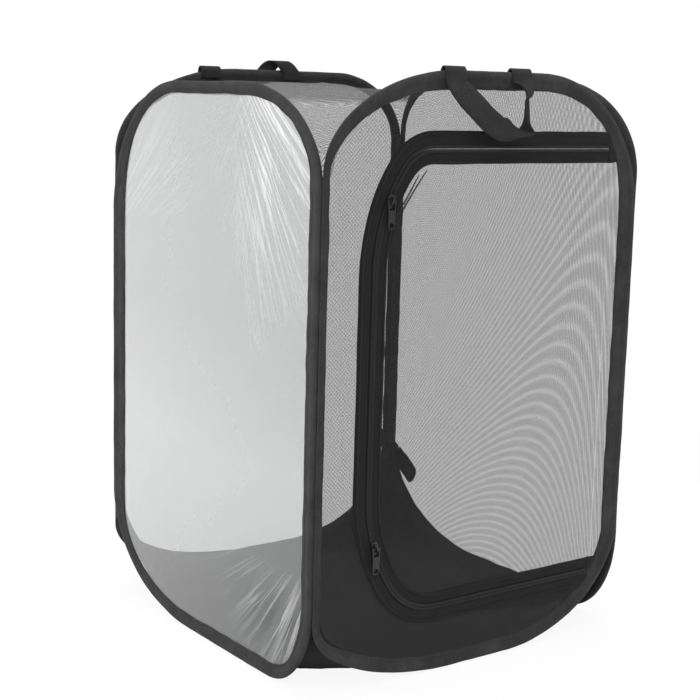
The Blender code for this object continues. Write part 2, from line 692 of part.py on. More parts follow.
def make_slider(name, sweep, angle, head_up, upper):
    """A zip slider on the door's coil and, hanging from its bail, its pull."""
    sign = 1 if upper else -1
    away = ZIP_SWEEP_RADIUS
    place = (sweep[0] - away * math.cos(angle), sweep[1] + sign * away * math.sin(angle))
    pivot_at = (sweep[0], -HALF_SPAN - CHAIN_OUT, sweep[1])
    pivot = new_pivot(f"{name}_slider_pivot", pivot_at, DOOR)
    plane = panel_matrix("front", CHAIN_OUT)
    tilt = Matrix.Rotation(-sign * angle + (0 if head_up else math.pi), 4, "Z")
    matrix = plane @ Matrix.Translation((*place, 0)) @ tilt
    door_side = 1 if head_up else -1
    half, head, tail = SLIDER_LENGTH / 2, SLIDER_HEAD / 2, SLIDER_TAIL / 2
    nose = head * 0.62
    front = [
        (-nose, half), (nose, half), (head, half * 0.45), (tail, -half * 0.55),
        (tail * 0.75, -half), (-tail * 0.75, -half), (-tail, -half * 0.55), (-head, half * 0.45),
    ]
    body = solid_mesh(f"zip_slider_{name}", [front], PLATE_LOW, PLATE_HIGH)
    slider = new_piece(f"zip_slider_{name}", body, BLACK_ENAMEL, matrix, pivot)
    lap = SLIDER_PLATE * 0.4
    for side in (-1, 1):
        inner, outer = side * (COIL_FAR + CLEARANCE), side * (COIL_FAR + CLEARANCE + SLIDER_WALL * 0.7)
        lip_outline = [(inner, -half * 0.5), (outer, -half * 0.5), (outer, half * 0.4), (inner, half * 0.4)]
        lip = solid_mesh("slider_lip", [lip_outline], COIL_LOW, PLATE_LOW + lap)
        add_boolean(slider, lip, "UNION")
    half_web = SLIDER_WEB / 2
    web_low, web_high = half * 0.9 - SLIDER_WEB_LENGTH, half * 0.9
    web = box_mesh(
        "slider_web", (-half_web, web_low, BACK_PLATE_LOW + lap), (half_web, web_high, PLATE_LOW + lap)
    )
    add_boolean(slider, web, "UNION")
    far = door_side * tail
    back = [
        (0.0, -half * 0.8), (far * 0.9, -half * 0.8),
        (far, half * 0.3), (far * 0.7, half * 0.95), (0.0, half * 0.95),
    ]
    wing = solid_mesh("slider_wing", [back], BACK_PLATE_LOW, BACK_PLATE_HIGH)
    add_boolean(slider, wing, "UNION")
    foot, step = BAIL_LENGTH / 2, BAIL_BAR
    shoulder = BAIL_INNER_HEIGHT - step / 2
    arch = [
        (-foot, PLATE_HIGH - lap), (-foot, shoulder), (-foot + step, BAIL_HEIGHT),
        (foot - step, BAIL_HEIGHT), (foot, shoulder), (foot, PLATE_HIGH - lap),
        (foot - step, PLATE_HIGH - lap), (foot - step, BAIL_INNER_HEIGHT),
        (-foot + step, BAIL_INNER_HEIGHT), (-foot + step, PLATE_HIGH - lap),
    ]
    turn = Matrix(((0, 0, 1, 0), (1, 0, 0, 0), (0, 1, 0, 0), (0, 0, 0, 1)))
    bail = solid_mesh("slider_bail", [arch], -BAIL_WIDTH / 2, BAIL_WIDTH / 2, turn)
    add_boolean(slider, bail, "UNION")
    make_pull(name, place, pivot)


def make_pull(name, place, pivot):
    """A pull tab whose cross bar passes under the slider's bail. It hangs straight down."""
    out = CHAIN_OUT + PULL_AXIS_HEIGHT
    hinge = new_pivot(f"{name}_pull_pivot", (place[0], -HALF_SPAN - out, place[1]), pivot)
    half = PULL_WIDTH / 2
    top = PULL_BAR / 2
    taper = half * 0.78
    window_half = half - PULL_RAIL
    window_low = -BAIL_LENGTH / 2 - BAIL_HEIGHT + PLATE_HIGH - 2 * CLEARANCE
    outline = [(-half, top), (-taper, -PULL_LENGTH * 0.45)]
    outline += arc_points((0, -PULL_LENGTH + taper), taper, math.pi, 2 * math.pi, 8)
    outline += [(taper, -PULL_LENGTH * 0.45), (half, top)]
    window = [
        (-window_half, -top), (window_half, -top),
        (window_half * 0.92, window_low), (-window_half * 0.92, window_low),
    ]
    hole = arc_points((0, -PULL_LENGTH + taper), PULL_HOLE_RADIUS, 0, 2 * math.pi, 10)[:-1]
    mesh = solid_mesh(f"zip_pull_{name}", [outline, window, hole], -PULL_BAR / 2, PULL_BAR / 2)
    matrix = panel_matrix("front", out) @ Matrix.Translation((*place, 0))
    new_piece(f"zip_pull_{name}", mesh, BLACK_ENAMEL, matrix, hinge)


def curve_through(points, steps):
    """Points on a smooth curve through the given ones."""
    ends = [points[0] * 2 - points[1]] + points + [points[-1] * 2 - points[-2]]
    made = []
    for a, b, c, d in zip(ends, ends[1:], ends[2:], ends[3:]):
        for k in range(steps):
            t = k / steps
            made.append(
                0.5 * (2 * b + (c - a) * t + (2 * a - 5 * b + 4 * c - d) * t**2
                       + (3 * b - 3 * c + d - a) * t**3)
            )
    return made + [points[-1]]


def make_strap(name, stations, width, parent=None, steps=1, rounded=False):
    """Webbing through stations: a centre, its width's way and how square that is to the run."""
    centres = curve_through([Vector(centre) for centre, _, _ in stations], steps)
    across = curve_through([Vector(way) for _, way, _ in stations], steps)
    squares = [square for _, _, square in stations]
    last = len(centres) - 1
    ends = {
        0: Vector(stations[1][0]) - Vector(stations[0][0]),
        last: Vector(stations[-1][0]) - Vector(stations[-2][0]),
    }
    work = bmesh.new()
    rings = []
    for k, (centre, way) in enumerate(zip(centres, across)):
        along = ends[k] if k in ends else centres[k + 1] - centres[k - 1]
        along = along.normalized()
        square = np.interp(k / steps, range(len(squares)), squares)
        side = (way - along * way.dot(along) * square).normalized()
        half = side * width / 2
        if rounded and k >= last - 2:
            half = half * (0.93, 0.78, 0.42)[k - last + 2]
        face = along.cross(side).normalized() * STRAP_THICKNESS / 2
        corners = (centre - half - face, centre + half - face, centre + half + face, centre - half + face)
        rings.append([work.verts.new(corner) for corner in corners])
    for first, second in zip(rings, rings[1:]):
        for k in range(4):
            work.faces.new((first[k], first[(k + 1) % 4], second[(k + 1) % 4], second[k]))
    work.faces.new(rings[0][::-1])
    work.faces.new(rings[-1])
    bmesh.ops.recalc_face_normals(work, faces=work.faces)
    mesh = bpy.data.meshes.new(name)
    work.to_mesh(mesh)
    work.free()
    strap = new_piece(name, mesh, BLACK_WEBBING, None, parent)
    smooth(strap)
    return strap


def crest(side, inner_x, outer_x, lift, start, end, steps):
    """Stations over a binding's top, between two angles. Straight inside it is a half turn."""
    out = -1 if side == "front" else 1
    level = FRONT_HEIGHT - BINDING_HALF_WIDTH
    stations = []
    for step in range(steps + 1):
        angle = start + (end - start) * step / steps
        x = outer_x + (inner_x - outer_x) * angle / math.pi
        away = STRAP_OUT * math.cos(angle)
        up = (STRAP_UP + lift) * math.sin(angle)
        stations.append(((x, out * (HALF_SPAN + away), level + up), (1, 0, 0), 0))
    return stations


def sewn_end(name, side, inner_x, outer_x, lift):
    """The end of a handle: up from the seam inside, as far as the binding's crest."""
    out = -1 if side == "front" else 1
    tail = FRONT_HEIGHT - BINDING_HALF_WIDTH - STRAP_INNER_TAIL
    low = ((inner_x, out * (HALF_SPAN - STRAP_OUT), tail), (1, 0, 0), 0)
    over = crest(side, inner_x, outer_x, lift, math.pi, CREST_END, CREST_STEPS)
    make_strap(name, [low] + over, STRAP_WIDTH)


def make_handle(side, left, right, lean, lift, shape):
    """A handle. Each station of its loop is a share of the span, out, down and a width."""
    sewn_end(f"handle_{side}_end_left", side, left, left, lift)
    sewn_end(f"handle_{side}_end_right", side, right + lean, right, lift)
    sign = -1 if side == "front" else 1
    start = Vector((0, sign * (HALF_SPAN + STRAP_OUT), FRONT_HEIGHT - BINDING_HALF_WIDTH))
    first = crest(side, left, left, lift, math.pi / 2, 0, LOOP_CREST_STEPS)
    second = crest(side, right + lean, right, lift, math.pi / 2, 0, LOOP_CREST_STEPS)
    turned = [(centre, shape[-1][-1], 0) for centre, _, _ in second]
    hanging = []
    for share, out, down, way in shape:
        offset = Vector((left + (right - left) * share, sign * out, -down))
        hanging.append((start + offset, way, 1))
    pivot_height = FRONT_HEIGHT - BINDING_HALF_WIDTH + STRAP_UP + lift
    pivot = new_pivot(f"handle_{side}_pivot", (0, sign * HALF_SPAN, pivot_height))
    stations = first + hanging + turned[::-1]
    make_strap(f"handle_{side}", stations, STRAP_WIDTH, pivot, STRAP_STEPS)


def make_handles():
    """A webbing handle on the front's and on the back's top binding."""
    # The left leg lies flat and slants to the right. The strap turns on edge at the bottom,
    # and its right leg rises edge-on.
    hanging = [
        (0.00, 0.0022, 0.008, (1, 0, 0)),
        (0.055, 0.0075, 0.0218, (0.78, 0.20, 0.60)),
        (0.276, 0.0110, 0.0362, (0.66, 0.22, 0.72)),
        (0.50, 0.0125, 0.0484, (0.54, 0.42, 0.73)),
        (0.74, 0.0125, 0.0505, (0.24, 0.80, 0.54)),
        (0.90, 0.0125, 0.0475, (0.10, 0.94, 0.33)),
        (0.955, 0.0125, 0.0370, (0.38, 0.92, 0.08)),
        (0.955, 0.0120, 0.0250, (0.58, 0.81, 0)),
        (0.965, 0.0100, 0.0140, (0.72, 0.69, 0)),
        (1.00, 0.0022, 0.006, (1, 0, 0)),
    ]
    make_handle("front", FRONT_HANDLE_LEFT, FRONT_HANDLE_RIGHT, 0.0, FRONT_CREST_LIFT, hanging)
    lying = [
        (0.00, 0.0016, 0.006, (1, 0, 0)),
        (0.05, 0.0050, 0.013, (1, 0, 0)),
        (0.26, 0.0095, 0.0225, (0.50, 0, 0.86)),
        (0.52, 0.0095, 0.0250, (0, 0, 1)),
        (0.78, 0.0095, 0.0225, (-0.50, 0, 0.86)),
        (0.95, 0.0050, 0.013, (-1, 0, 0)),
        (1.00, 0.0016, 0.006, (-1, 0, 0)),
    ]
    make_handle(
        "back", BACK_HANDLE_LEFT, BACK_HANDLE_RIGHT, BACK_HANDLE_LEAN, BACK_CREST_LIFT, lying
    )


def make_tie_strap():
    """A folded strap sewn round the back right corner, which ties the folded cage."""
    out = HALF_SPAN + STRAP_OUT
    corner = HALF_SPAN + STRAP_OUT * 0.4
    turn = [
        (HALF_RUN - 0.010, out),
        (HALF_RUN - 0.002, out),
        (corner, out - STRAP_THICKNESS * 0.4),
        (out - STRAP_THICKNESS * 0.4, corner),
        (out, HALF_RUN - 0.002),
    ]
    drop = TIE_DROP / (len(turn) - 1)
    ends = [((x, y, TIE_HEIGHT - drop * k), (0, 0, 1), 0) for k, (x, y) in enumerate(turn)]
    make_strap("tie_strap_end", ends, TIE_WIDTH)
    origin = Vector((out + STRAP_THICKNESS + CLEARANCE, HALF_RUN + 0.0035, TIE_HEIGHT - TIE_DROP))
    along = Vector((0, -math.cos(TIE_SLOPE), -math.sin(TIE_SLOPE)))
    across = Vector((0, -math.sin(TIE_SLOPE), math.cos(TIE_SLOPE)))
    loop = []
    for share in (0, 0.12, 0.34, 0.62, 0.84, 1.0):
        lift = Vector((TIE_LIFT * math.sin(math.pi * share) ** 2, 0, 0))
        loop.append((origin + along * TIE_LENGTH * share + lift, across, 1))
    pivot = new_pivot("tie_strap_pivot", origin)
    make_strap("tie_strap", loop, TIE_WIDTH, pivot, STRAP_STEPS, rounded=True)


clear_scene()
CAGE = new_collection("insect_cage")
GUIDES = new_collection("guides")
DOOR = new_pivot("door_pivot", (FOLD_X, -HALF_SPAN - CHAIN_OUT - COIL_LOW - COIL_HEIGHT, 0))
bpy.context.view_layer.update()
make_frame()
make_corner_tapes()
make_side_panels()
make_cover("roof_mesh", True, ROOF_SLACK, SHEET, BLACK_NET)
make_cover("floor_panel", False, FLOOR_DRAPE, FLOOR_CLOTH, BLACK_CLOTH)
make_front_net()
make_zip()
make_slider("upper", UPPER_SWEEP, UPPER_SLIDER_ANGLE, True, True)
make_slider("lower", LOWER_SWEEP, LOWER_SLIDER_ANGLE, False, False)
make_handles()
make_tie_strap()
bpy.context.view_layer.update()
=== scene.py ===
"""Looks of the mesh insect cage: cloth, net, film, webbing, zip and stitching, over its solids.

Everything is in metres, in the solids' own frame: X right along the front, Y towards the
back, Z up. Panels are drawn flat, as x and z seen from outside the cage, and then placed.
"""

import math
import random

import bmesh
import bpy
import numpy as np
from mathutils import Matrix, Vector, noise


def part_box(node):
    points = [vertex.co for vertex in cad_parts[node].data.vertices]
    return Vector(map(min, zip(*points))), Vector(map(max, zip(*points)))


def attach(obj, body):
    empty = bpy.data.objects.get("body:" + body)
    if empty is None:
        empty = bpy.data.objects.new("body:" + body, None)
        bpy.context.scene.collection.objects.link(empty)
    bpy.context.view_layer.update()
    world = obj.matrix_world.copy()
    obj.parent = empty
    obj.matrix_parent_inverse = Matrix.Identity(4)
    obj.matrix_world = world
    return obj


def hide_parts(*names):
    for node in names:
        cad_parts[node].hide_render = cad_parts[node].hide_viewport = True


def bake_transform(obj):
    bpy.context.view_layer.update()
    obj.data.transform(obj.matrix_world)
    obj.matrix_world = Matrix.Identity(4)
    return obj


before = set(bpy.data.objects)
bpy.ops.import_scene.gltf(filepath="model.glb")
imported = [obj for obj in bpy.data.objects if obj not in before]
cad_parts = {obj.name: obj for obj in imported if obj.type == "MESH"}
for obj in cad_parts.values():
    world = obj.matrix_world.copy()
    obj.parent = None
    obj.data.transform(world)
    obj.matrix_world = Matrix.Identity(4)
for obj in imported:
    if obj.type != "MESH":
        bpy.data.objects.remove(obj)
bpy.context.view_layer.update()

# Sizes and places that the solids have too
HALF_SPAN = 0.1981
HALF_RUN = 0.19188
WIRE_LOW = 0.005
WIRE_RADIUS = 0.0015
FRONT_TOP = 0.5784
SIDE_TOP = 0.5628
FRONT_RADII = {"tl": (0.148, 0.090), "tr": (0.134, 0.133), "br": (0.153, 0.114), "bl": (0.166, 0.067)}
SIDE_RADII = {"tl": (0.123, 0.090), "tr": (0.130, 0.139), "br": (0.165, 0.1135), "bl": (0.067, 0.090)}
TIGHT_BACK = (0.095, 0.080)
TIGHT_SIDE = (0.054, 0.060)
BINDING_HALF = (0.0050, 0.0032)
SEAM_HALF = 0.00115
NET_INSET = 0.0062
ROOF_INSET = 0.0080
RIM_PLANE = 0.19635
CORNER_AT = 0.19058
TAPE_AT = 0.19163
GUSSET_DROP = 0.0250
ZIP_X = -0.13998
FOLD_X = 0.15998
FOLD_GAP = 0.0002
ZIP_TOP = 0.5110
ZIP_BOTTOM = 0.0670
SWEEP_RADIUS = 0.165
SWEEP_ANGLE = math.radians(35)
TOP_BEND = 0.043
BOTTOM_BEND = 0.066
UPPER_SLIDER_Z = 0.464081
LOWER_SLIDER_Z = 0.138796
TAPE_PLANE = -HALF_SPAN - 0.0009
STRAP_OUT = 0.00425
STRAP_UP = 0.00605
STRAP_WIDTH = 0.025
STRAP_THICK = 0.0015
TIE_SLOPE = math.radians(33)
TIE_LENGTH = 0.045

# Where the looks depart from the solids: the right side's top, and tubes that lie tucked away
RIGHT_RISE = 0.0125
SLIM = 0.45
TUCK = 0.004
NET_TUCK = TUCK + 0.003

# How finely the loops are drawn
LOOP_STEP = 0.006
ARC_STEPS = 30

# How far each seam reaches inwards: at the top, right, bottom and left, and in the corners
HEM_REACH = {
    "front": (0.0118, 0.0170, 0.0092, 0.0042, 0.0072),
    "left": (0.0070, 0.0125, 0.0095, 0.0185, 0.0072),
    "right": (0.0080, 0.0042, 0.0085, 0.0065, 0.0072),
    "back": (0.0080, 0.0065, 0.0085, 0.0085, 0.0072),
}
LOW_HEM_GROWTH = 0.014

# Seam threads: radius, stitch and gap
HEM_THREAD = (0.00030, 0.0030, 0.0009)
TAPE_THREAD = (0.00028, 0.0028, 0.0009)
ZIP_THREAD = 0.00028

# Corner tapes, narrower where less of them shows
CORNER_TAPE_WIDTH = 0.0124
NARROW_TAPES = {"front_left": 0.0085, "back_right": 0.0095}
CORNER_SEAM_WIDTH = 0.0052

# The zip: how far its tapes and their hems reach from the closing line, how far short of the
# fold each part ends, and its coil
TAPE_REACH = {"frame": 0.0168, "door": 0.0142}
TAPE_NEAR = 0.0002
TAPE_GROWTH = 0.010
HEM_AT = {"frame": 0.0150, "door": 0.0132}
HEM_WIDTH = 0.0022
ZIP_STOPS = {"tape": 0.004, "coil": 0.008, "stitching": 0.012, "hem": 0.022}
OPEN_GAP = 0.0002
COIL_PITCH = 0.0014
COIL_HALF = (0.00135, 0.00085)
COIL_THREAD = 0.00036

# Sheets: the distance from an edge over which their slack grows, and the roof's and floor's loads
EASE = 0.02
ROOF_LOAD = 0.02
FLOOR_LOAD = 21.0
FLOOR_THICK = 0.0005

# The camera, fitted to the photograph
EYE = Vector((-0.94897, -1.26362, 0.55938))
YAW, PITCH, ROLL = math.radians(36.374), math.radians(9.839), 0.0270
FOCAL_PX = 1479.6
PHOTO_PX = 700
SENSOR_MM = 36.0

# Materials
CLOTH_ROUGHNESS = 0.85
CREASE_SCALE = 130.0
NET_BLACK = (0.022, 0.022, 0.0235)
NET_PITCH = 0.00146
DENSE_SPAN = 0.006
FILM_SHARE = 0.42
FILM_WHITE = (0.46, 0.464, 0.468)
FILM_DULL = (0.37, 0.374, 0.378)
FILM_GLARE = (0.95, 0.95, 0.95)
FILM_CLEAR = (0.97, 0.975, 0.98)

# Fans of painted glints along fine folds in the film: corner, seed, reach, weight, mask and how close its
# lines are
FILM_GLINT_FANS = (
    ((0.64, 0.19), 1.0, 0.36, 1.5, ("v", 0.235, 0.06), 16.0),
    ((0.60, 0.30), 4.0, 0.30, 0.3, ("v", 0.16, 0.10), 13.0),
    ((0.36, -0.06), 9.0, 0.27, 0.75, ("u", 0.42, 0.05), 16.0),
    ((0.19, 0.42), 13.0, 0.24, 1.3, ("u", 0.120, -0.050), 14.0),
)

rng = random.Random(4)


def mirrored(radii):
    """Corner radii of a panel seen from the other side."""
    return {k[0] + {"l": "r", "r": "l"}[k[1]]: v for k, v in radii.items()}


# Panels: the turn about Z that faces them out, the height of the wire's top and the corners
PANELS = {
    "front": (0.0, FRONT_TOP, FRONT_RADII),
    "right": (math.pi / 2, SIDE_TOP + RIGHT_RISE, {**SIDE_RADII, "tr": TIGHT_SIDE}),
    "back": (math.pi, FRONT_TOP, {**mirrored(FRONT_RADII), "tl": TIGHT_BACK}),
    "left": (-math.pi / 2, SIDE_TOP, mirrored(SIDE_RADII)),
}

# Corners: the way along X and Y, then the panel that faces along Y and the one along X
CORNERS = {
    "front_left": ((-1, -1), ("front", "left"), ("left", "right")),
    "front_right": ((1, -1), ("front", "right"), ("right", "left")),
    "back_right": ((1, 1), ("back", "left"), ("right", "right")),
    "back_left": ((-1, 1), ("back", "right"), ("left", "left")),
}


# Small sums
def ramp(value, start, width):
    """0 up to a start, 1 from a width past it, and straight between."""
    return min(max((value - start) / width, 0.0), 1.0)


def wobble(point, size, scale):
    """Smooth, repeatable unevenness."""
    return noise.noise(Vector(point) * scale) * size


def read_off(pairs, at):
    """The value at a place, or at several, from sorted pairs of a place and its value."""
    return np.interp(at, [pair[0] for pair in pairs], [pair[1] for pair in pairs])


def running(points):
    """Distance along a line of points, from its start."""
    total = [0.0]
    for a, b in zip(points, points[1:]):
        total.append(total[-1] + (Vector(b) - Vector(a)).length)
    return total


def outline_area(points):
    """Area inside a closed flat outline."""
    turns = zip(points, points[1:] + points[:1])
    return abs(sum(a[0] * b[1] - b[0] * a[1] for a, b in turns)) / 2


def curve_through(points, steps):
    """Points on a smooth curve through the given ones."""
    ends = [points[0] * 2 - points[1]] + points + [points[-1] * 2 - points[-2]]
    made = []
    for a, b, c, d in zip(ends, ends[1:], ends[2:], ends[3:]):
        for k in range(steps):
            t = k / steps
            spot = 2 * b + (c - a) * t
            spot += (2 * a - 5 * b + 4 * c - d) * t**2
            spot += (3 * b - 3 * c + d - a) * t**3
            made.append(0.5 * spot)
    return made + [points[-1]]


def link_object(name, data):
    obj = bpy.data.objects.new(name, data)
    bpy.context.scene.collection.objects.link(obj)
    return obj


def place_camera():
    level = math.cos(PITCH)
    forward = Vector((math.sin(YAW) * level, math.cos(YAW) * level, -math.sin(PITCH)))
    right = Vector((math.cos(YAW), -math.sin(YAW), 0))
    up = right.cross(forward)
    turned = right * math.cos(ROLL) + up * math.sin(ROLL)
    upward = up * math.cos(ROLL) - right * math.sin(ROLL)
    data = bpy.data.cameras.new("camera")
    data.sensor_width = SENSOR_MM
    data.lens = FOCAL_PX * SENSOR_MM / PHOTO_PX
    camera = link_object("camera", data)
    camera.matrix_world = Matrix.Translation(EYE) @ Matrix((turned, upward, -forward)).transposed().to_4x4()
    bpy.context.scene.camera = camera


# Materials
class Field:
    """A number that a material works out at each point. Sums with it add Math nodes."""

    def __init__(self, material, socket):
        self.material = material
        self.socket = socket

    def math(self, operation, *others, first=False):
        """A Math node on this number and others, or on another number first and then this one."""
        node = self.material.node_tree.nodes.new("ShaderNodeMath")
        node.operation = operation
        for entry, value in zip(node.inputs, (*others, self) if first else (self, *others)):
            if isinstance(value, Field):
                self.material.node_tree.links.new(value.socket, entry)
            else:
                entry.default_value = value
        return Field(self.material, node.outputs[0])

    def clamp(self):
        """Keeps the last sum between 0 and 1."""
        self.socket.node.use_clamp = True
        return self

    def __add__(self, other):
        return self.math("ADD", other)

    def __radd__(self, other):
        return self.math("ADD", other, first=True)

    def __sub__(self, other):
        return self.math("SUBTRACT", other)

    def __rsub__(self, other):
        return self.math("SUBTRACT", other, first=True)

    def __mul__(self, other):
        return self.math("MULTIPLY", other)

    def __truediv__(self, other):
        return self.math("DIVIDE", other)

    def __abs__(self):
        return self.math("ABSOLUTE")


def coords(material, kind):
    return material.node_tree.nodes.new("ShaderNodeTexCoord").outputs[kind]


def split_coords(material, kind):
    """A surface point's coordinates, each as a field."""
    node = material.node_tree.nodes.new("ShaderNodeSeparateXYZ")
    material.node_tree.links.new(coords(material, kind), node.inputs[0])
    return [Field(material, socket) for socket in node.outputs]


def noise_field(material, source, scale, detail, roughness):
    node = material.node_tree.nodes.new("ShaderNodeTexNoise")
    for name, value in (("Scale", scale), ("Detail", detail), ("Roughness", roughness)):
        node.inputs[name].default_value = value
    material.node_tree.links.new(source, node.inputs["Vector"])
    return Field(material, node.outputs["Fac"])


def base_material(name, colour, roughness, metallic=0.0, specular=0.5, sheen=0.0):
    material = bpy.data.materials.new(name)
    material.use_nodes = True
    shader = material.node_tree.nodes["Principled BSDF"]
    for socket, value in (
        ("Base Color", (*colour, 1)), ("Roughness", roughness), ("Metallic", metallic),
        ("Specular IOR Level", specular), ("Sheen Weight", sheen), ("Sheen Roughness", 0.5),
    ):
        shader.inputs[socket].default_value = value
    return material, shader


def mix_shaders(tree, share, first, second, output="Material Output"):
    """Shows the second shader for a share, and the first for the rest."""
    mix = tree.nodes.new("ShaderNodeMixShader")
    for source, entry in zip((share, first.outputs[0], second.outputs[0]), mix.inputs):
        tree.links.new(source, entry)
    tree.links.new(mix.outputs[0], tree.nodes[output].inputs["Surface"])


def over_clear(material, share, shader, colour=(1, 1, 1)):
    """Shows a surface's own finish for a share, and what is behind it through the rest."""
    clear = material.node_tree.nodes.new("ShaderNodeBsdfTransparent")
    clear.inputs["Color"].default_value = (*colour, 1)
    mix_shaders(material.node_tree, share.socket, clear, shader)


def mottle_and_painted_crumples(material, shader, colour, scale, amount):
    """Small uneven lightness of woven cloth, at random; on the binding it is strong and paints the highlights
    and shade of its crumples.
    """
    nodes, links = material.node_tree.nodes, material.node_tree.links
    spots = noise_field(material, coords(material, "Object"), scale, 4.0, 0.6)
    lightness = spots * (2 * amount) + (1 - amount)
    tinted = nodes.new("ShaderNodeVectorMath")
    tinted.operation = "SCALE"
    tinted.inputs[0].default_value = colour
    links.new(lightness.socket, tinted.inputs["Scale"])
    links.new(tinted.outputs[0], shader.inputs["Base Color"])


def weave_bump(material, shader, pitch, height, crumple):
    """Threads over and under, in the piece's own UV metres, and small creases."""
    u, v, _ = split_coords(material, "UV")
    weave = (u * (2 * math.pi / pitch[0])).math("SINE") * (v * (2 * math.pi / pitch[1])).math("SINE")
    if crumple:
        creased = noise_field(material, coords(material, "Object"), CREASE_SCALE, 4.0, 0.6)
        weave = weave + creased * crumple
    bump = material.node_tree.nodes.new("ShaderNodeBump")
    bump.inputs["Distance"].default_value = height
    bump.inputs["Strength"].default_value = 0.9
    material.node_tree.links.new(weave.socket, bump.inputs["Height"])
    material.node_tree.links.new(bump.outputs[0], shader.inputs["Normal"])


def cloth_material(name, colour, pitch, height, sheen=0.05, amount=0.2, crumple=0.0, spots=60.0):
    material, shader = base_material(name, colour, CLOTH_ROUGHNESS, sheen=sheen, specular=0.25)
    mottle_and_painted_crumples(material, shader, colour, spots, amount)
    weave_bump(material, shader, pitch, height, crumple)
    return material


def net_material(name, thread, axes="XZ", pitch=NET_PITCH, dense=None, soft=0.12):
    """Diamond net: slanting threads, a share of their spacing thick, and clear between them.

    Dense is a height above which the threads look thicker, and their share there.
    """
    material, shader = base_material(name, NET_BLACK, 0.7, specular=0.2, sheen=0.05)
    place = dict(zip("XYZ", split_coords(material, "Object")))
    first, second = place[axes[0]] * (1 / pitch), place[axes[1]] * (1 / NET_PITCH)
    if dense:
        above = ((place["Z"] - dense[0]) / DENSE_SPAN).clamp()
        thread = thread + above * (dense[1] - thread)
    half = (thread + soft) * 0.5
    held = []
    for slanted in (first + second, first - second):
        away = abs(slanted.math("FRACT") - 0.5)
        held.append(((half - away) / soft).clamp())
    over_clear(material, held[0].math("MAXIMUM", held[1]), shader)
    return material


def streaks(u, v, corner, seed, reach, mask, count, sharpness=13.0):
    """Long fine lines that fan out of a point and fade with distance: a mask for painted glints, and for
    painted dark lines, along the film's folds.
    """
    tree = u.material.node_tree
    du, dv = u - corner[0], v - corner[1]
    away = (du * du + dv * dv).math("SQRT")
    place = tree.nodes.new("ShaderNodeCombineXYZ")
    tree.links.new((dv.math("ARCTAN2", du) * count).socket, place.inputs[0])
    tree.links.new((away * 2.6).socket, place.inputs[1])
    place.inputs[2].default_value = seed
    lines = noise_field(u.material, place.outputs[0], 1.6, 2.0, 0.5)
    sharp = (1.0 - abs(lines - 0.5) * sharpness).clamp()
    fade = (1.0 - away / reach).clamp()
    letter, start, width = mask
    inside = (({"u": u, "v": v}[letter] - start) / width).clamp()
    return sharp * fade * inside


def film_material():
    """Hazy clear film: part of what is behind it shows, and painted glare lies over it, in glints along
    fanning folds and a lighter spread, with painted dark fold lines.
    """
    material, shader = base_material("film", FILM_WHITE, 0.26)
    nodes, links = material.node_tree.nodes, material.node_tree.links
    _, across, u = split_coords(material, "Object")
    v = HALF_RUN - across
    cloud = noise_field(material, coords(material, "UV"), 22.0, 5.0, 0.65)
    fans = 0.0
    for corner, seed, reach, weight, mask, count in FILM_GLINT_FANS:
        fans = fans + streaks(u, v, corner, seed, reach, mask, count) * weight
    # Painted shade: dark fold lines, where the film's haze is thinned so the lines read darker
    folded = streaks(u, v, (0.19, 0.42), 21.0, 0.23, ("u", 0.100, -0.040), 11.0, 8.0)
    share = cloud * 0.06 - v * 0.16 + FILM_SHARE
    # Painted glints: the fans also thicken the film's haze along their lines
    share = (share + fans * 0.35).clamp()
    share = (share - folded * 0.45).clamp()
    # Painted glare spread: the film's colour lighter towards the back end of the window and in a band about
    # 0.2 m up
    low = (1.0 - abs(u - 0.20) * 7.0).clamp()
    light = 0.366 - v * 1.12 + low * 0.26
    # The film's colour runs from FILM_DULL towards the painted glare of FILM_GLARE, along the glint fans and
    # the lighter spread above
    tint = nodes.new("ShaderNodeMix")
    tint.data_type = "RGBA"
    links.new((fans + light).math("MINIMUM", 1.0).socket, tint.inputs["Factor"])
    tint.inputs["A"].default_value = (*FILM_DULL, 1)
    tint.inputs["B"].default_value = (*FILM_GLARE, 1)
    links.new(tint.outputs["Result"], shader.inputs["Base Color"])
    over_clear(material, share, shader, FILM_CLEAR)
    return material


# The binding's strong mottle paints highlights and shade of its crumples over its own random tone
BINDING = cloth_material(
    "binding_tape", (0.034, 0.034, 0.0355), (0.0011, 0.0011), 0.0003, crumple=14.0, amount=0.8, spots=38.0
)
FLOOR_CLOTH = cloth_material("floor_cloth", (0.013, 0.013, 0.014), (0.0008, 0.0008), 0.0002)
WEBBING = cloth_material("webbing", (0.021, 0.020, 0.0195), (0.0016, 0.0024), 0.0006, sheen=0.06, amount=0.35)
TAPE = cloth_material("zip_tape", (0.0085, 0.0085, 0.009), (0.0012, 0.0012), 0.0002, sheen=0.04)
THREAD, _ = base_material("thread", (0.040, 0.040, 0.041), 0.7, specular=0.25)
COIL, _ = base_material("zip_coil", (0.018, 0.018, 0.0185), 0.40)
ENAMEL, _ = base_material("zip_enamel", (0.014, 0.014, 0.0145), 0.38, metallic=0.2)
STEEL, _ = base_material("spring_steel", (0.5, 0.5, 0.52), 0.3, metallic=1.0)
FRONT_NET = net_material("front_net", 0.235)
BACK_NET = net_material("back_net", 0.225)
RIGHT_NET = net_material("right_net", 0.225, "YZ", pitch=0.00130, soft=0.2)
ROOF_NET = net_material("roof_net", 0.235, "XY", dense=(0.5490, 0.56), soft=0.2)
FOLDED_NET = net_material("folded_net", 0.58)
FILM = film_material()


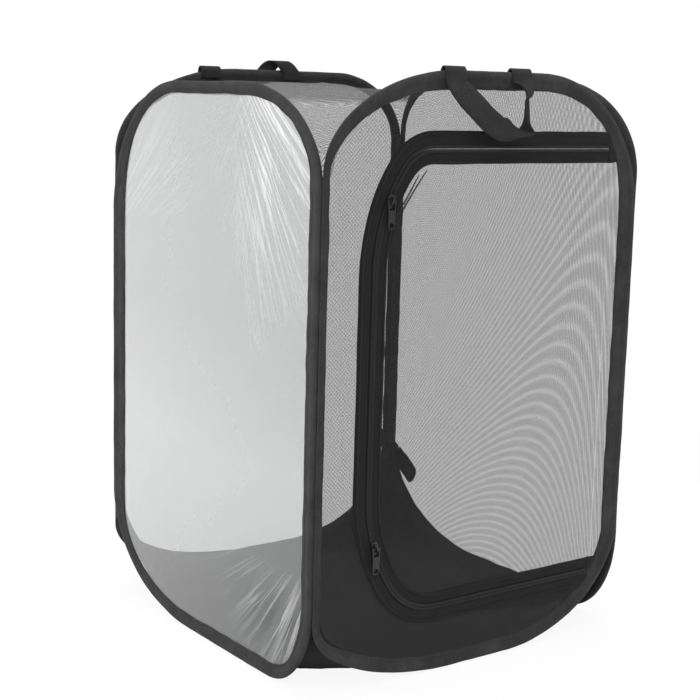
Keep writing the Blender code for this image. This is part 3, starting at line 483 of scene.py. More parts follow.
# Flat outlines of the panels
def corner_arcs(side, inset, steps):
    """A panel's four corner arcs, counterclockwise from the bottom right, with their normals."""
    _, top, radii = PANELS[side]
    arcs = []
    for quarter, name in enumerate(("br", "tr", "tl", "bl")):
        rx, rz = radii[name]
        x = HALF_RUN - rx if name[1] == "r" else rx - HALF_RUN
        z = top - rz if name[0] == "t" else WIRE_LOW + rz
        arc = []
        for step in range(steps + 1):
            angle = math.pi / 2 * (quarter - 1 + step / steps)
            c, s = math.cos(angle), math.sin(angle)
            size = math.hypot(rz * c, rx * s)
            nx, nz = rz * c / size, rx * s / size
            arc.append((x + c * rx - nx * inset, z + s * rz - nz * inset, nx, nz))
        arcs.append(arc)
    return arcs


def loop_line(side):
    """Points round a panel's wire loop, with outward normals, about evenly spaced."""
    arcs = corner_arcs(side, 0.0, ARC_STEPS)
    line = []
    for number, arc in enumerate(arcs):
        line += arc
        ahead = arcs[(number + 1) % 4][0]
        gap = math.hypot(ahead[0] - arc[-1][0], ahead[1] - arc[-1][1])
        parts = max(1, round(gap / LOOP_STEP))
        for k in range(1, parts):
            share = k / parts
            line.append(tuple(a + (b - a) * share for a, b in zip(arc[-1], ahead)))
    return line


def on_panel(side, x, z, out=0.0):
    """A panel's flat point in the cage's frame."""
    yaw = PANELS[side][0]
    y = -HALF_SPAN - out
    return Vector((x * math.cos(yaw) - y * math.sin(yaw), x * math.sin(yaw) + y * math.cos(yaw), z))


def tucked(side, nx, nz):
    """How much of a binding's upright run lies back behind the next panel's: none to all."""
    if side == "front":
        return max(-nx, 0.0) ** 6 if nz > 0 else ramp(-nx, 0.45, 0.35)
    if side == "right":
        return max(nx, 0.0) ** 6
    return 0.0


def tucked_outline(side, inset, steps):
    """A panel's outline, moved out with the tubes that are tucked away."""
    outline = []
    for arc in corner_arcs(side, inset, steps):
        for x, z, nx, nz in arc:
            move = NET_TUCK * tucked(side, nx, nz)
            outline.append((x + nx * move, z + nz * move, nx))
    return outline


def extent(side, inset, z):
    """How far a panel reaches left and right at a height."""
    line = tucked_outline(side, inset, 40)
    left = sorted((p[1], p[0]) for p in line if p[2] < 1e-9 and p[0] < 0)
    right = sorted((p[1], p[0]) for p in line if p[2] > -1e-9 and p[0] > 0)
    return float(read_off(left, z)), float(read_off(right, z))


# Meshes
def add_mesh(name, verts, faces, material):
    mesh = bpy.data.meshes.new(name)
    mesh.from_pydata(verts, [], faces)
    mesh.materials.append(material)
    mesh.shade_smooth()
    return link_object(name, mesh)


def grid_mesh(name, rows, material, us=None, vs=None, wrap_rows=False, wrap_cols=False, caps=False):
    """Quads over rows of points, with UVs in metres where they are given."""
    count, width = len(rows), len(rows[0])
    us, vs = us or [0.0] * (count + 1), vs or [0.0] * (width + 1)
    verts = [tuple(p) for row in rows for p in row]
    faces, uvs = [], []
    for i in range(count if wrap_rows else count - 1):
        for j in range(width if wrap_cols else width - 1):
            a, b = i * width, (i + 1) % count * width
            c, d = j, (j + 1) % width
            faces.append((a + c, a + d, b + d, b + c))
            uvs += [(us[i], vs[j]), (us[i], vs[j + 1]), (us[i + 1], vs[j + 1]), (us[i + 1], vs[j])]
    if caps:
        for row, flip in ((0, True), (count - 1, False)):
            ring = [row * width + j for j in range(width)]
            faces.append(tuple(ring[::-1] if flip else ring))
            uvs += [(us[row], vs[j]) for j in range(width)]
    obj = add_mesh(name, verts, faces, material)
    obj.data.uv_layers.new(name="UVMap").data.foreach_set("uv", np.array(uvs, np.float32).ravel())
    return obj


def outward(obj):
    """Turns the faces of a closed piece to face out."""
    work = bmesh.new()
    work.from_mesh(obj.data)
    bmesh.ops.recalc_face_normals(work, faces=work.faces)
    work.to_mesh(obj.data)
    work.free()
    return obj


def thread_mesh(name, stitches, radius):
    """Many short threads as one mesh: each a slim bar from one point to another."""
    verts, faces = [], []
    for a, b in stitches:
        a, b = Vector(a), Vector(b)
        along = (b - a).normalized()
        side = along.orthogonal().normalized()
        other = along.cross(side)
        base = len(verts)
        for point, size in ((a, 0.45), ((a + b) / 2, 1.0), (b, 0.45)):
            for k in range(4):
                angle = math.pi / 2 * k
                offset = (side * math.cos(angle) + other * math.sin(angle)) * radius * size
                verts.append(tuple(point + offset))
        for ring in (base, base + 4):
            for k in range(4):
                n = (k + 1) % 4
                faces.append((ring + k, ring + n, ring + 4 + n, ring + 4 + k))
        faces.append((base, base + 3, base + 2, base + 1))
        faces.append((base + 8, base + 9, base + 10, base + 11))
    return add_mesh(name, verts, faces, THREAD)


def dashes(points, length, gap):
    """Cuts a line of points into stitches of a length with gaps between them."""
    total = running(points)
    spot = np.array([list(p) for p in points])
    found = []
    start = 0.0
    while start + length < total[-1]:
        ends = [[float(np.interp(at, total, spot[:, k])) for k in range(3)] for at in (start, start + length)]
        found.append(tuple(ends))
        start += length + gap
    return found


def dress(piece, body, slot, *nodes):
    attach(piece, body)
    if nodes:
        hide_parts(*nodes)
    return piece


def make_strap(name, stations, width, steps=8, tip=False, thick=STRAP_THICK, material=WEBBING):
    """Webbing through stations: a centre, its width's way and how square that is to the run."""
    centres = curve_through([Vector(c) for c, _, _ in stations], steps)
    ways = curve_through([Vector(w) for _, w, _ in stations], steps)
    squares = [square for _, _, square in stations]
    upper = [(-1.0, 0.5), (-0.97, 1.0), (-0.5, 1.0), (0.0, 1.0), (0.5, 1.0), (0.97, 1.0), (1.0, 0.5)]
    shape = upper + [(a, -b) for a, b in upper[::-1]]
    rows = []
    last = len(centres) - 1
    for k, (centre, way) in enumerate(zip(centres, ways)):
        along = (centres[min(k + 1, last)] - centres[max(k - 1, 0)]).normalized()
        square = float(np.interp(k / steps, range(len(squares)), squares))
        side = (way - along * way.dot(along) * square).normalized()
        face = along.cross(side).normalized()
        half = width / 2
        if tip:
            left = (last - k) / (steps * 0.9)
            half *= math.sqrt(max(1 - (1 - min(left, 1.0)) ** 2, 0.10))
        rows.append([centre + side * half * a + face * thick / 2 * b for a, b in shape])
    vs = [a * width / 2 if b > 0 else width - a * width / 2 for a, b in shape] + [width * 1.5]
    return outward(grid_mesh(name, rows, material, running(centres), vs, wrap_cols=True, caps=True))


# Bindings, corners and wires
def hem_reach(side, nx, nz):
    """How far the seam reaches inwards where the loop faces a way."""
    shares = [max(part, 0.0) ** 6 for part in (nz, nx, -nz, -nx)]
    *sides, bend = HEM_REACH[side]
    if side == "front" and nx > 0 > nz:
        bend += LOW_HEM_GROWTH * nx * -nz
    return sum(share * reach for share, reach in zip(shares, sides)) + (1 - sum(shares)) * bend


def make_bindings():
    """Each binding: a fabric tube round its wire, closed by a stitched seam on the panel."""
    half_width, half_depth = BINDING_HALF
    flange = [(1.0, 1.0), (0.55, 1.05), (0.15, 1.15)]
    turn = [math.radians(degrees) for degrees in range(42, 319, 12)]
    tube = [(half_width * math.cos(angle), half_depth * math.sin(angle)) for angle in turn]
    radius, *pace = HEM_THREAD
    for side in PANELS:
        rows, middle, seams = [], [], ([], [])
        for x, z, nx, nz in loop_line(side):
            here = on_panel(side, x, z)
            tuck = tucked(side, nx, nz)
            slim = SLIM * tuck
            fat = 1 + wobble(here, 0.09, 26) + wobble(here, 0.05, 85) - slim
            sway = wobble(here + Vector((3, 1, 2)), 0.0004, 18)
            reach = hem_reach(side, nx, nz) + wobble(here + Vector((7, 5, 1)), 0.0011, 45)
            pucker = 1 + wobble(here + Vector((2, 9, 4)), 0.5, 90)
            near = half_width * (1 - slim) + 0.0005
            x, z = x + nx * TUCK * tuck, z + nz * TUCK * tuck
            front = [(near + (reach - near) * a, SEAM_HALF * b * pucker) for a, b in flange]
            section = front + [(a * fat, b * fat) for a, b in tube]
            section += [(a, -b) for a, b in front[::-1]] + [(reach + 0.0003, 0.0)]
            rows.append([on_panel(side, x - nx * a, z - nz * a, b + sway) for a, b in section])
            middle.append(here)
            inset = near + (reach - near) * 0.55
            for seam, face in zip(seams, (1, -1)):
                out = face * SEAM_HALF * 1.12 * pucker + sway
                seam.append(on_panel(side, x - nx * inset, z - nz * inset, out))
        us = running(middle + middle[:1])
        vs = running([(a, b, 0) for a, b in section + section[:1]])
        cloth = grid_mesh(f"binding_{side}_cloth", rows, BINDING, us, vs, wrap_rows=True, wrap_cols=True)
        dress(outward(cloth), "cage", "binding", f"binding_{side}")
        threads = [stitch for seam in seams for stitch in dashes(seam + seam[:1], *pace)]
        dress(thread_mesh(f"binding_{side}_stitching", threads, radius), "cage", "binding")


def make_corner_tapes():
    """A narrow tape sewn down the inside of each corner, over its two bindings."""
    radius, *pace = TAPE_THREAD
    for name, ((sx, sy), *panels) in CORNERS.items():
        runs = []
        for side, hand in panels:
            bottom_right, top_right, top_left, bottom_left = corner_arcs(side, 0.0, 4)
            ends = (bottom_right[-1], top_right[0]) if hand == "right" else (bottom_left[0], top_left[-1])
            runs.append([end[1] for end in ends])
        low = max(run[0] for run in runs)
        high = min(run[1] for run in runs)
        way = (-sy, sx, 0)
        stations = []
        for k in range(13):
            z = low + (high - low) * k / 12
            drift = wobble((sx * 3, sy * 5, z), 0.0005, 14)
            stations.append(((sx * TAPE_AT + way[0] * drift, sy * TAPE_AT + way[1] * drift, z), way, 1))
        width = NARROW_TAPES.get(name, CORNER_TAPE_WIDTH)
        strap = make_strap(f"corner_tape_{name}_cloth", stations, width, 4, thick=0.0006, material=BINDING)
        dress(strap, "cage", "binding", f"corner_tape_{name}")
        threads = []
        inward = Vector((-sx, -sy, 0)).normalized() * 0.0004
        for across in (0.0014 - width / 2, width / 2 - 0.0014):
            line = [Vector(centre) + Vector(way).normalized() * across + inward for centre, _, _ in stations]
            threads += dashes(line, *pace)
        dress(thread_mesh(f"corner_tape_{name}_stitching", threads, radius), "cage", "binding")


def make_joining_strips():
    """Where two bindings meet at a corner: the narrow dark seam that joins their tubes."""
    at = (HALF_SPAN + HALF_RUN) / 2
    for name, ((sx, sy), *_) in CORNERS.items():
        low, high = (corner[2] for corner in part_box(f"corner_tape_{name}"))
        stations = [((sx * at, sy * at, low + (high - low) * k / 8), (-sy, sx, 0), 1) for k in range(9)]
        strap = make_strap(f"corner_seam_{name}", stations, CORNER_SEAM_WIDTH, 3, thick=0.0005, material=TAPE)
        dress(strap, "cage", "binding")


def make_wires():
    """The spring wires inside the bindings, each one turn with its ends at the ferrule."""
    for side in PANELS:
        line = loop_line(side)
        start = min(range(len(line)), key=lambda k: abs(line[k][0]) + line[k][1])
        rows, middle = [], []
        for x, z, nx, nz in line[start:] + line[:start]:
            row = []
            for k in range(8):
                angle = math.pi / 4 * k
                a = WIRE_RADIUS * math.cos(angle) + TUCK * tucked(side, nx, nz)
                row.append(on_panel(side, x + nx * a, z + nz * a, WIRE_RADIUS * math.sin(angle)))
            rows.append(row)
            middle.append(on_panel(side, x, z))
        vs = [0.0012 * k for k in range(9)]
        wire = grid_mesh(f"spring_wire_{side}", rows, STEEL, running(middle), vs, wrap_cols=True, caps=True)
        dress(outward(wire), "cage", "spring_wire", f"wire_loop_{side}")


# Film and nets of the sides
def crease(y, z, start, end, width, height):
    """Height of one fold line at a point of a flat sheet."""
    sx, sz = start
    dx, dz = end[0] - sx, end[1] - sz
    length = math.hypot(dx, dz)
    along = ((y - sx) * dx + (z - sz) * dz) / length
    away = abs((y - sx) * dz - (z - sz) * dx) / length
    share = ramp(along, 0.0, length)
    if share in (0.0, 1.0):
        return 0.0
    fade = math.sin(math.pi * share) ** 1.5 * (1 - 0.6 * share)
    return height * fade * math.exp(-((away / width) ** 2))


def make_side_sheet(name, side, node, slot, material, count, columns, bend):
    """A sheet stretched inside a loop, moved out by what bend gives."""
    low, high = WIRE_LOW + NET_INSET, PANELS[side][1] - NET_INSET
    levels = np.linspace(low + 0.0002, high - 0.0002, count)
    rows = []
    for z in levels:
        x0, x1 = extent(side, NET_INSET, z)
        row = []
        for k in range(columns + 1):
            x = x0 + (x1 - x0) * k / columns
            edge = min(x - x0, x1 - x, z - low, high - z)
            row.append(on_panel(side, x, z, bend(x, z) * ramp(edge, 0.004, EASE)))
        rows.append(row)
    vs = [k * 2 * HALF_RUN / columns for k in range(columns + 1)]
    sheet = grid_mesh(name, rows, material, list(levels), vs)
    dress(sheet, "cage", slot, node)
    cut_area = outline_area(tucked_outline(side, NET_INSET, 24))


def film_folds():
    """Random fold lines of the film: two fans at the top, long ones, and a crumpled corner."""
    folds = []
    for corner, low, high, count in (((0.110, 0.550), 262, 305, 12), ((-0.185, 0.420), 40, 75, 7)):
        for _ in range(count):
            angle, reach = math.radians(rng.uniform(low, high)), rng.uniform(0.08, 0.20)
            x, z = corner[0] + rng.uniform(-0.03, 0.03), corner[1] + rng.uniform(-0.02, 0.02)
            end = (x + reach * math.cos(angle), z + reach * math.sin(angle))
            folds.append(((x, z), end, rng.uniform(0.003, 0.007), rng.uniform(-0.0010, 0.0010)))
    for _ in range(14):
        x, z = rng.uniform(-0.16, 0.16), rng.uniform(0.25, 0.50)
        end = (x + rng.uniform(-0.02, 0.02), z - rng.uniform(0.12, 0.3))
        folds.append(((x, z), end, rng.uniform(0.006, 0.014), rng.uniform(-0.0004, 0.0004)))
    for _ in range(22):
        x, z = rng.uniform(0.08, 0.17), rng.uniform(0.04, 0.12)
        angle, reach = math.radians(rng.uniform(195, 250)), rng.uniform(0.03, 0.10)
        end = (x + reach * math.cos(angle), z + reach * math.sin(angle))
        folds.append(((x, z), end, rng.uniform(0.002, 0.004), rng.uniform(-0.0022, 0.0022)))
    return folds


def make_film():
    """The clear window, a little crumpled."""
    folds = film_folds()

    def bend(x, z):
        return sum(crease(x, z, *fold) for fold in folds) + 0.0025 * noise.noise(Vector((x * 7, z * 5, 4.0)))

    make_side_sheet("clear_window_film", "left", "clear_window", "window_film", FILM, 170, 110, bend)


def make_plain_nets():
    """The nets of the back and of the right side, each with a little slack."""
    for side, material, flat in (
        ("back", BACK_NET, (0.3714, 0.5610)), ("right", RIGHT_NET, (0.3784, 0.5600)),
    ):
        def bend(x, z):
            return 0.0012 * noise.noise(Vector((x * 4, z * 3, flat[1] * 20)))

        make_side_sheet(f"{side}_net", side, f"{side}_mesh", "net", material, 60, 40, bend)


# Front nets
def make_surround_net():
    """The net round the door, one ring between the front loop and the zip."""
    inner = [(x - rx * 0.0035, z - rz * 0.0035) for x, z, rx, rz, _ in zip_line(FOLD_X + FOLD_GAP)]
    levels = np.linspace(inner[-1][1], inner[0][1], 80)[1:-1]
    inner += [(FOLD_X + FOLD_GAP, float(z)) for z in levels]
    outer = []
    for x, z, nx, nz in loop_line("front"):
        inset = NET_INSET - NET_TUCK * tucked("front", nx, nz)
        outer.append((x - nx * inset, z - nz * inset))
    cx, cz = 0.01, 0.289
    turns = []
    for edge in (inner, outer):
        turns.append(sorted((math.atan2(z - cz, x - cx), math.hypot(x - cx, z - cz)) for x, z in edge))
    angles = sorted(angle for turn in turns for angle, _ in turn)
    reaches = [np.interp(angles, [a for a, _ in t], [r for _, r in t], period=2 * math.pi) for t in turns]
    rows = []
    for angle, near, far in zip(angles, *reaches):
        row = []
        for k in range(6):
            reach = near + (far - near) * k / 5
            x, z = cx + reach * math.cos(angle), cz + reach * math.sin(angle)
            free = math.sin(math.pi * k / 5)
            row.append(on_panel("front", x, z, 0.0008 * free * noise.noise(Vector((x * 5, z * 5, 2.0)))))
        rows.append(row)
    ring = grid_mesh("front_surround_net", rows, FRONT_NET, wrap_rows=True)
    dress(ring, "cage", "net", "front_surround_mesh")
    cut_area = outline_area(outer) - outline_area(inner)


def make_door_net():
    """The net of the door, up to the fold."""
    edge = [(x + rx * 0.006, z + rz * 0.006) for x, z, rx, rz, _ in zip_line(FOLD_X - FOLD_GAP)]
    left = sorted((z, x) for x, z in edge)
    levels = np.linspace(edge[0][1], edge[-1][1], 60)
    rows = []
    for z in levels:
        straight = 0.12 < z < 0.46
        x0 = float(read_off(left, z)) if straight else min(x for level, x in left if abs(level - z) < 0.0045)
        row = []
        for k in range(31):
            x = x0 + (FOLD_X - FOLD_GAP - x0) * k / 30
            free = ramp(min(x - x0, z - levels[0], levels[-1] - z), 0.0, EASE)
            row.append(on_panel("front", x, z, 0.0012 * free * noise.noise(Vector((x * 4, z * 3, 6.0)))))
        rows.append(row)
    door = dress(grid_mesh("door_net", rows, FRONT_NET), "door", "net", "door_mesh")
    outline_area(edge)


def make_door_folds():
    """Two slack folds that lie across the upper left corner of the door's net."""
    for name, line in (
        ("outer", [(-0.0916, 0.4872), (-0.1020, 0.4700), (-0.1156, 0.4493), (-0.1218, 0.4313)]),
        ("inner", [(-0.0823, 0.4917), (-0.0957, 0.4736), (-0.1100, 0.4528), (-0.1228, 0.4258)]),
    ):
        curve = curve_through([Vector((x, 0, z)) for x, z in line], 8)
        last = len(curve) - 1
        rows = []
        for k, point in enumerate(curve):
            ahead = curve[min(k + 1, last)] - curve[max(k - 1, 0)]
            across = Vector((ahead.z, 0, -ahead.x)).normalized()
            half = 0.0002 + 0.0010 * math.sin(math.pi * k / last)
            row = []
            for part, out in ((-1, 0.0), (-0.3, 0.0011), (0.3, 0.0011), (1, 0.0)):
                spot = point + across * half * part
                row.append(on_panel("front", spot.x, spot.z, 0.0005 + out))
            rows.append(row)
        fold = grid_mesh(f"door_net_fold_{name}", rows, FOLDED_NET, running(curve), [0, 0.001, 0.002, 0.003])
        dress(fold, "door", "net")


# Roof and floor
def membrane(xs, ys, edges, load, lowest, rounds=9000):
    """Heights of a cloth held at its edges, settled by its own tension."""
    z = edges.copy()
    east, west = np.diff(xs)[1:, None], np.diff(xs)[:-1, None]
    north, south = np.diff(ys)[None, 1:], np.diff(ys)[None, :-1]
    pull = [2 / ((east + west) * east), 2 / ((east + west) * west)]
    pull += [2 / ((north + south) * north), 2 / ((north + south) * south)]
    total = sum(pull)
    for _ in range(rounds):
        near = (z[2:, 1:-1], z[:-2, 1:-1], z[1:-1, 2:], z[1:-1, :-2])
        moved = (sum(w * value for w, value in zip(pull, near)) - load) / total
        z[1:-1, 1:-1] = np.maximum(moved, lowest)
    return z


def rim(side, upper):
    """The seam line of the roof or the floor round a panel's two corners, left then right."""
    arcs = corner_arcs(side, ROOF_INSET, 16)
    pair = (arcs[2][::-1], arcs[1][::-1]) if upper else (arcs[3], arcs[0])
    return tuple([(x + nx * TUCK * tucked(side, nx, nz), z) for x, z, nx, nz in arc] for arc in pair)


def rim_height(side, upper, places):
    """Heights of that seam line at places along X or Y."""
    left, right = rim(side, upper)
    flip = -1 if side in ("back", "left") else 1
    return read_off(left + right, flip * np.array(places))


def grid_lines(sides, upper):
    """Places along X or Y for the cloth's grid: close in the corners, wide in between."""
    places = list(np.linspace(-0.09, 0.09, 16))
    for side, flip in zip(sides, (1, -1)):
        places += [flip * p[0] for arc in rim(side, upper) for p in arc]
    kept = [-RIM_PLANE]
    for place in sorted(places):
        if place - kept[-1] > 0.0032 and RIM_PLANE - place > 0.002:
            kept.append(place)
    return np.array(kept + [RIM_PLANE])


def gusset_reach(panel, levels):
    """How far a roof corner's seam on a panel is from the next panel, at some heights."""
    side, hand = panel
    steps = sorted((z, RIM_PLANE - abs(x)) for x, z in rim(side, True)[hand == "right"])
    return read_off(steps + [(steps[-1][0] + 0.0003, 2 * HALF_SPAN)], levels)


def gusset_heights(xs, ys):
    """Heights of the net drawn straight across the roof's corners, level by level."""
    lowest = np.full((len(xs), len(ys)), FRONT_TOP)
    for (sx, sy), first, second in CORNERS.values():
        a = np.maximum(RIM_PLANE - sx * xs, 0)[:, None]
        b = np.maximum(RIM_PLANE - sy * ys, 0)[None, :]
        low, high = np.full(lowest.shape, 0.40), np.full(lowest.shape, FRONT_TOP)
        for _ in range(40):
            middle = (low + high) / 2
            share = a / gusset_reach(first, middle) + b / gusset_reach(second, middle)
            low = np.where(share > 1, middle, low)
            high = np.where(share > 1, high, middle)
        lowest = np.minimum(lowest, high)
    return lowest


def cover_grid(upper):
    """The roof's or the floor's grid: its places along X and Y, and the heights of its rim."""
    xs = grid_lines(("front", "back"), upper)
    ys = grid_lines(("right", "left"), upper)
    edges = np.zeros((len(xs), len(ys)))
    edges[:, 0] = rim_height("front", upper, xs)
    edges[:, -1] = rim_height("back", upper, xs)
    for i, side in ((0, "left"), (-1, "right")):
        heights = rim_height(side, upper, ys)
        edges[i, 1:-1] = heights[1:-1]
        for j in (0, -1):
            edges[i, j] = (edges[i, j] + heights[j]) / 2
    edges[1:-1, 1:-1] = np.mean(edges[:, 0])
    return xs, ys, edges


def roof_heights(xs, ys, edges):
    """The roof: sagging along one diagonal, and drawn down into its corners."""
    heights = membrane(xs, ys, np.maximum(edges, SIDE_TOP + 0.005 - GUSSET_DROP), ROOF_LOAD, -1.0)
    aside = np.abs(xs[:, None] - ys[None, :] + 0.02)
    level = np.max(edges[1:-1, 0])
    sag = 1 - 0.8 * np.clip((aside - 0.09) / 0.12, 0, 1)
    inner = np.minimum(level - (level - heights) * sag, gusset_heights(xs, ys))
    edges[1:-1, 1:-1] = inner[1:-1, 1:-1]
    return edges


def roof_slack(x, y, outer):
    fold = 0.0014 * outer**3 * noise.noise(Vector((x * 14, y * 14, 1.0)))
    return fold + 0.0010 * noise.noise(Vector((x * 9, y * 9, 5.0)))


def floor_slack(x, y, outer):
    fold = 0.005 * outer**3 * abs(noise.noise(Vector((x * 30, y * 30, 8.0))))
    return fold + 0.0012 * abs(noise.noise(Vector((x * 16, y * 16, 3.0))))


def make_cover(name, node, slot, material, xs, ys, heights, slack):
    """The net roof or the cloth floor, with slack folds towards its corners."""
    rows = []
    for i in range(len(xs)):
        row = []
        for j in range(len(ys)):
            corner = i in (0, len(xs) - 1) and j in (0, len(ys) - 1)
            x, y = (math.copysign(CORNER_AT, place) if corner else place for place in (xs[i], ys[j]))
            free = ramp(min(RIM_PLANE - abs(x), RIM_PLANE - abs(y)), 0.0, EASE)
            fold = slack(x, y, min(abs(x), abs(y)) / RIM_PLANE)
            row.append((x, y, max(heights[i, j] + fold * free, 0.0)))
        rows.append(row)
    us = running([(x, 0, z) for x, z in zip(xs, heights[:, len(ys) // 2])])
    vs = running([(0, y, z) for y, z in zip(ys, heights[len(xs) // 2])])
    return dress(grid_mesh(name, rows, material, us, vs), "cage", slot, node)


def make_roof():
    xs, ys, edges = cover_grid(upper=True)
    heights = roof_heights(xs, ys, edges)
    roof = make_cover("roof_net", "roof_mesh", "net", ROOF_NET, xs, ys, heights, roof_slack)


def make_floor():
    xs, ys, edges = cover_grid(upper=False)
    heights = membrane(xs, ys, edges, FLOOR_LOAD, 0.0)
    floor = make_cover("floor_cloth", "floor_panel", "floor_cloth", FLOOR_CLOTH, xs, ys, heights, floor_slack)
    shell = floor.modifiers.new("cloth", "SOLIDIFY")
    shell.thickness = FLOOR_THICK
    shell.offset = 1.0


# Zip
def zip_corner(level, tight, upper, steps=24):
    """Points of a corner of the zip: a wide sweep, then a tight bend."""
    sign = 1 if upper else -1
    sine = math.sin(SWEEP_ANGLE)
    rise = SWEEP_RADIUS * sine + tight * (1 - sine)
    shift = SWEEP_RADIUS - tight
    start = math.pi - sign * SWEEP_ANGLE
    end = math.pi / 2 if upper else 1.5 * math.pi
    wide = (ZIP_X + SWEEP_RADIUS, level - sign * rise)
    bend = (wide[0] - shift * math.cos(SWEEP_ANGLE), wide[1] + sign * shift * sine)
    points = []
    for (x, z), radius, low, high in ((wide, SWEEP_RADIUS, math.pi, start), (bend, tight, start, end)):
        for k in range(1 if points else 0, steps + 1):
            angle = low + (high - low) * k / steps
            points.append((x + radius * math.cos(angle), z + radius * math.sin(angle)))
    return points


UPPER_CORNER = zip_corner(ZIP_TOP, TOP_BEND, True)
LOWER_CORNER = zip_corner(ZIP_BOTTOM, BOTTOM_BEND, False)


def zip_line(end_x, step=0.004):
    """The zip's closing line: points, the way to its right and the distance along it."""
    rough = [(end_x, ZIP_BOTTOM)] + LOWER_CORNER[::-1] + UPPER_CORNER + [(end_x, ZIP_TOP)]
    total = running([(x, z, 0) for x, z in rough])
    count = round(total[-1] / step)
    xs, zs = (np.interp(np.linspace(0, total[-1], count + 1), total, part) for part in zip(*rough))
    line = []
    for k in range(count + 1):
        a, b = max(k - 1, 0), min(k + 1, count)
        dx, dz = xs[b] - xs[a], zs[b] - zs[a]
        size = math.hypot(dx, dz)
        line.append((float(xs[k]), float(zs[k]), dz / size, -dx / size, total[-1] * k / count))
    return line


def zip_spread(x, z):
    """How far apart the two sides stand at a point of the line: the zip is shut between its sliders."""
    shut = x <= -0.12 and LOWER_SLIDER_Z - 0.004 <= z <= UPPER_SLIDER_Z + 0.004
    return 0.0 if shut else OPEN_GAP


def make_coil(name, sign, body):
    """A nylon coil along one side of the zip, turn by turn."""
    per_turn, sides = 8, 5
    *table, along = zip(*zip_line(FOLD_X - ZIP_STOPS["coil"], 0.002))
    length = along[-1]
    steps = int(length / COIL_PITCH * per_turn)
    marks, centres = [], []
    for k in range(steps + 1):
        at = length * k / steps
        x, z, rx, rz = (float(np.interp(at, along, column)) for column in table)
        phase = 2 * math.pi * at / COIL_PITCH + (math.pi if sign > 0 else 0)
        across = sign * (0.00150 + zip_spread(x, z) + COIL_HALF[0] * math.cos(phase))
        out = 0.00165 + COIL_HALF[1] * math.sin(phase)
        centres.append(Vector((x + rx * across, TAPE_PLANE - out, z + rz * across)))
        marks.append(at)
    rows = []
    for k, centre in enumerate(centres):
        way = (centres[min(k + 1, steps)] - centres[max(k - 1, 0)]).normalized()
        side = way.cross(Vector((0, 1, 0)))
        side = side.normalized() if side.length > 1e-6 else Vector((1, 0, 0))
        other = way.cross(side)
        row = []
        for j in range(sides):
            angle = 2 * math.pi * j / sides
            row.append(centre + (side * math.cos(angle) + other * math.sin(angle)) * COIL_THREAD)
        rows.append(row)
    vs = [0.0004 * j for j in range(sides + 1)]
    coil = grid_mesh(f"zip_coil_{name}_turns", rows, COIL, marks, vs, wrap_cols=True)
    dress(outward(coil), body, "zip_coil", f"zip_coil_{name}")


def beside_zip(end_x, across, out, sway=0.0, seed=0.0):
    """A line beside the zip, at a distance to its right and out from the tape."""
    line = []
    for x, z, rx, rz, at in zip_line(end_x):
        shift = across + wobble((at, seed, 0), sway, 25)
        line.append(Vector((x + rx * shift, TAPE_PLANE - out, z + rz * shift)))
    return line


def level_range(inset, x):
    """The lowest and highest point inside the front loop at a place along it."""
    line = sorted(p[:2] for arc in corner_arcs("front", inset, 40) for p in arc)
    low = [p for p in line if p[1] < 0.2]
    high = [p for p in line if p[1] > 0.4]
    return float(read_off(low, x)), float(read_off(high, x))


def make_tape(name, sign, body):
    """One side's zip tape: woven, and held clear of the front binding's seam."""
    shares = (0.0, 0.2, 0.45, 0.7, 0.9, 1.0)
    line = zip_line(FOLD_X - ZIP_STOPS["tape"])
    rows = []
    for x, z, rx, rz, at in line:
        far = TAPE_REACH[name] + wobble((at, 3.0 * sign, 0), 0.0008, 22)
        if sign < 0 and z < 0.2:
            far += TAPE_GROWTH * ramp(x, 0.01, 0.09)
        row = []
        for half in (0.00035, -0.00035):
            for share in shares if half > 0 else shares[::-1]:
                across = sign * (TAPE_NEAR + (far - TAPE_NEAR) * share)
                px, pz = x + rx * across, z + rz * across
                if sign < 0:
                    low, high = level_range(0.0108, px)
                    pz = min(max(pz, low), high)
                lift = wobble((at, share * 2, sign), 0.0003, 40) * (share > 0.3)
                row.append(Vector((px, TAPE_PLANE - half - lift, pz)))
        rows.append(row)
    us = [p[4] for p in line]
    vs = [TAPE_REACH["frame"] * share for share in shares + shares[::-1]] + [0.0]
    tape = grid_mesh(f"zip_tape_{name}_cloth", rows, TAPE, us, vs, wrap_cols=True, caps=True)
    dress(outward(tape), body, "zip_tape", f"zip_tape_{name}")


def make_hem(name, sign, body):
    """A narrow hem along a tape's outer part, a little wavy."""
    end_x = FOLD_X - ZIP_STOPS["hem"]
    left = beside_zip(end_x, sign * (HEM_AT[name] - HEM_WIDTH), 0.0007, 0.0009, 2.0 * sign)
    right = beside_zip(end_x, sign * HEM_AT[name], 0.0007, 0.0012, 5.0 * sign)
    under = Vector((0, 0.0004, 0))
    rows = []
    for a, b in zip(left, right):
        lift = Vector((0, -0.0005 - wobble(a, 0.0004, 60), 0))
        rows.append([a + under, a + lift, b + lift, b + under])
    vs = [0, 0.0006, 0.003, 0.0036, 0.006]
    hem = grid_mesh(f"zip_hem_{name}", rows, TAPE, running(left), vs, wrap_cols=True, caps=True)
    dress(outward(hem), body, "zip_tape")


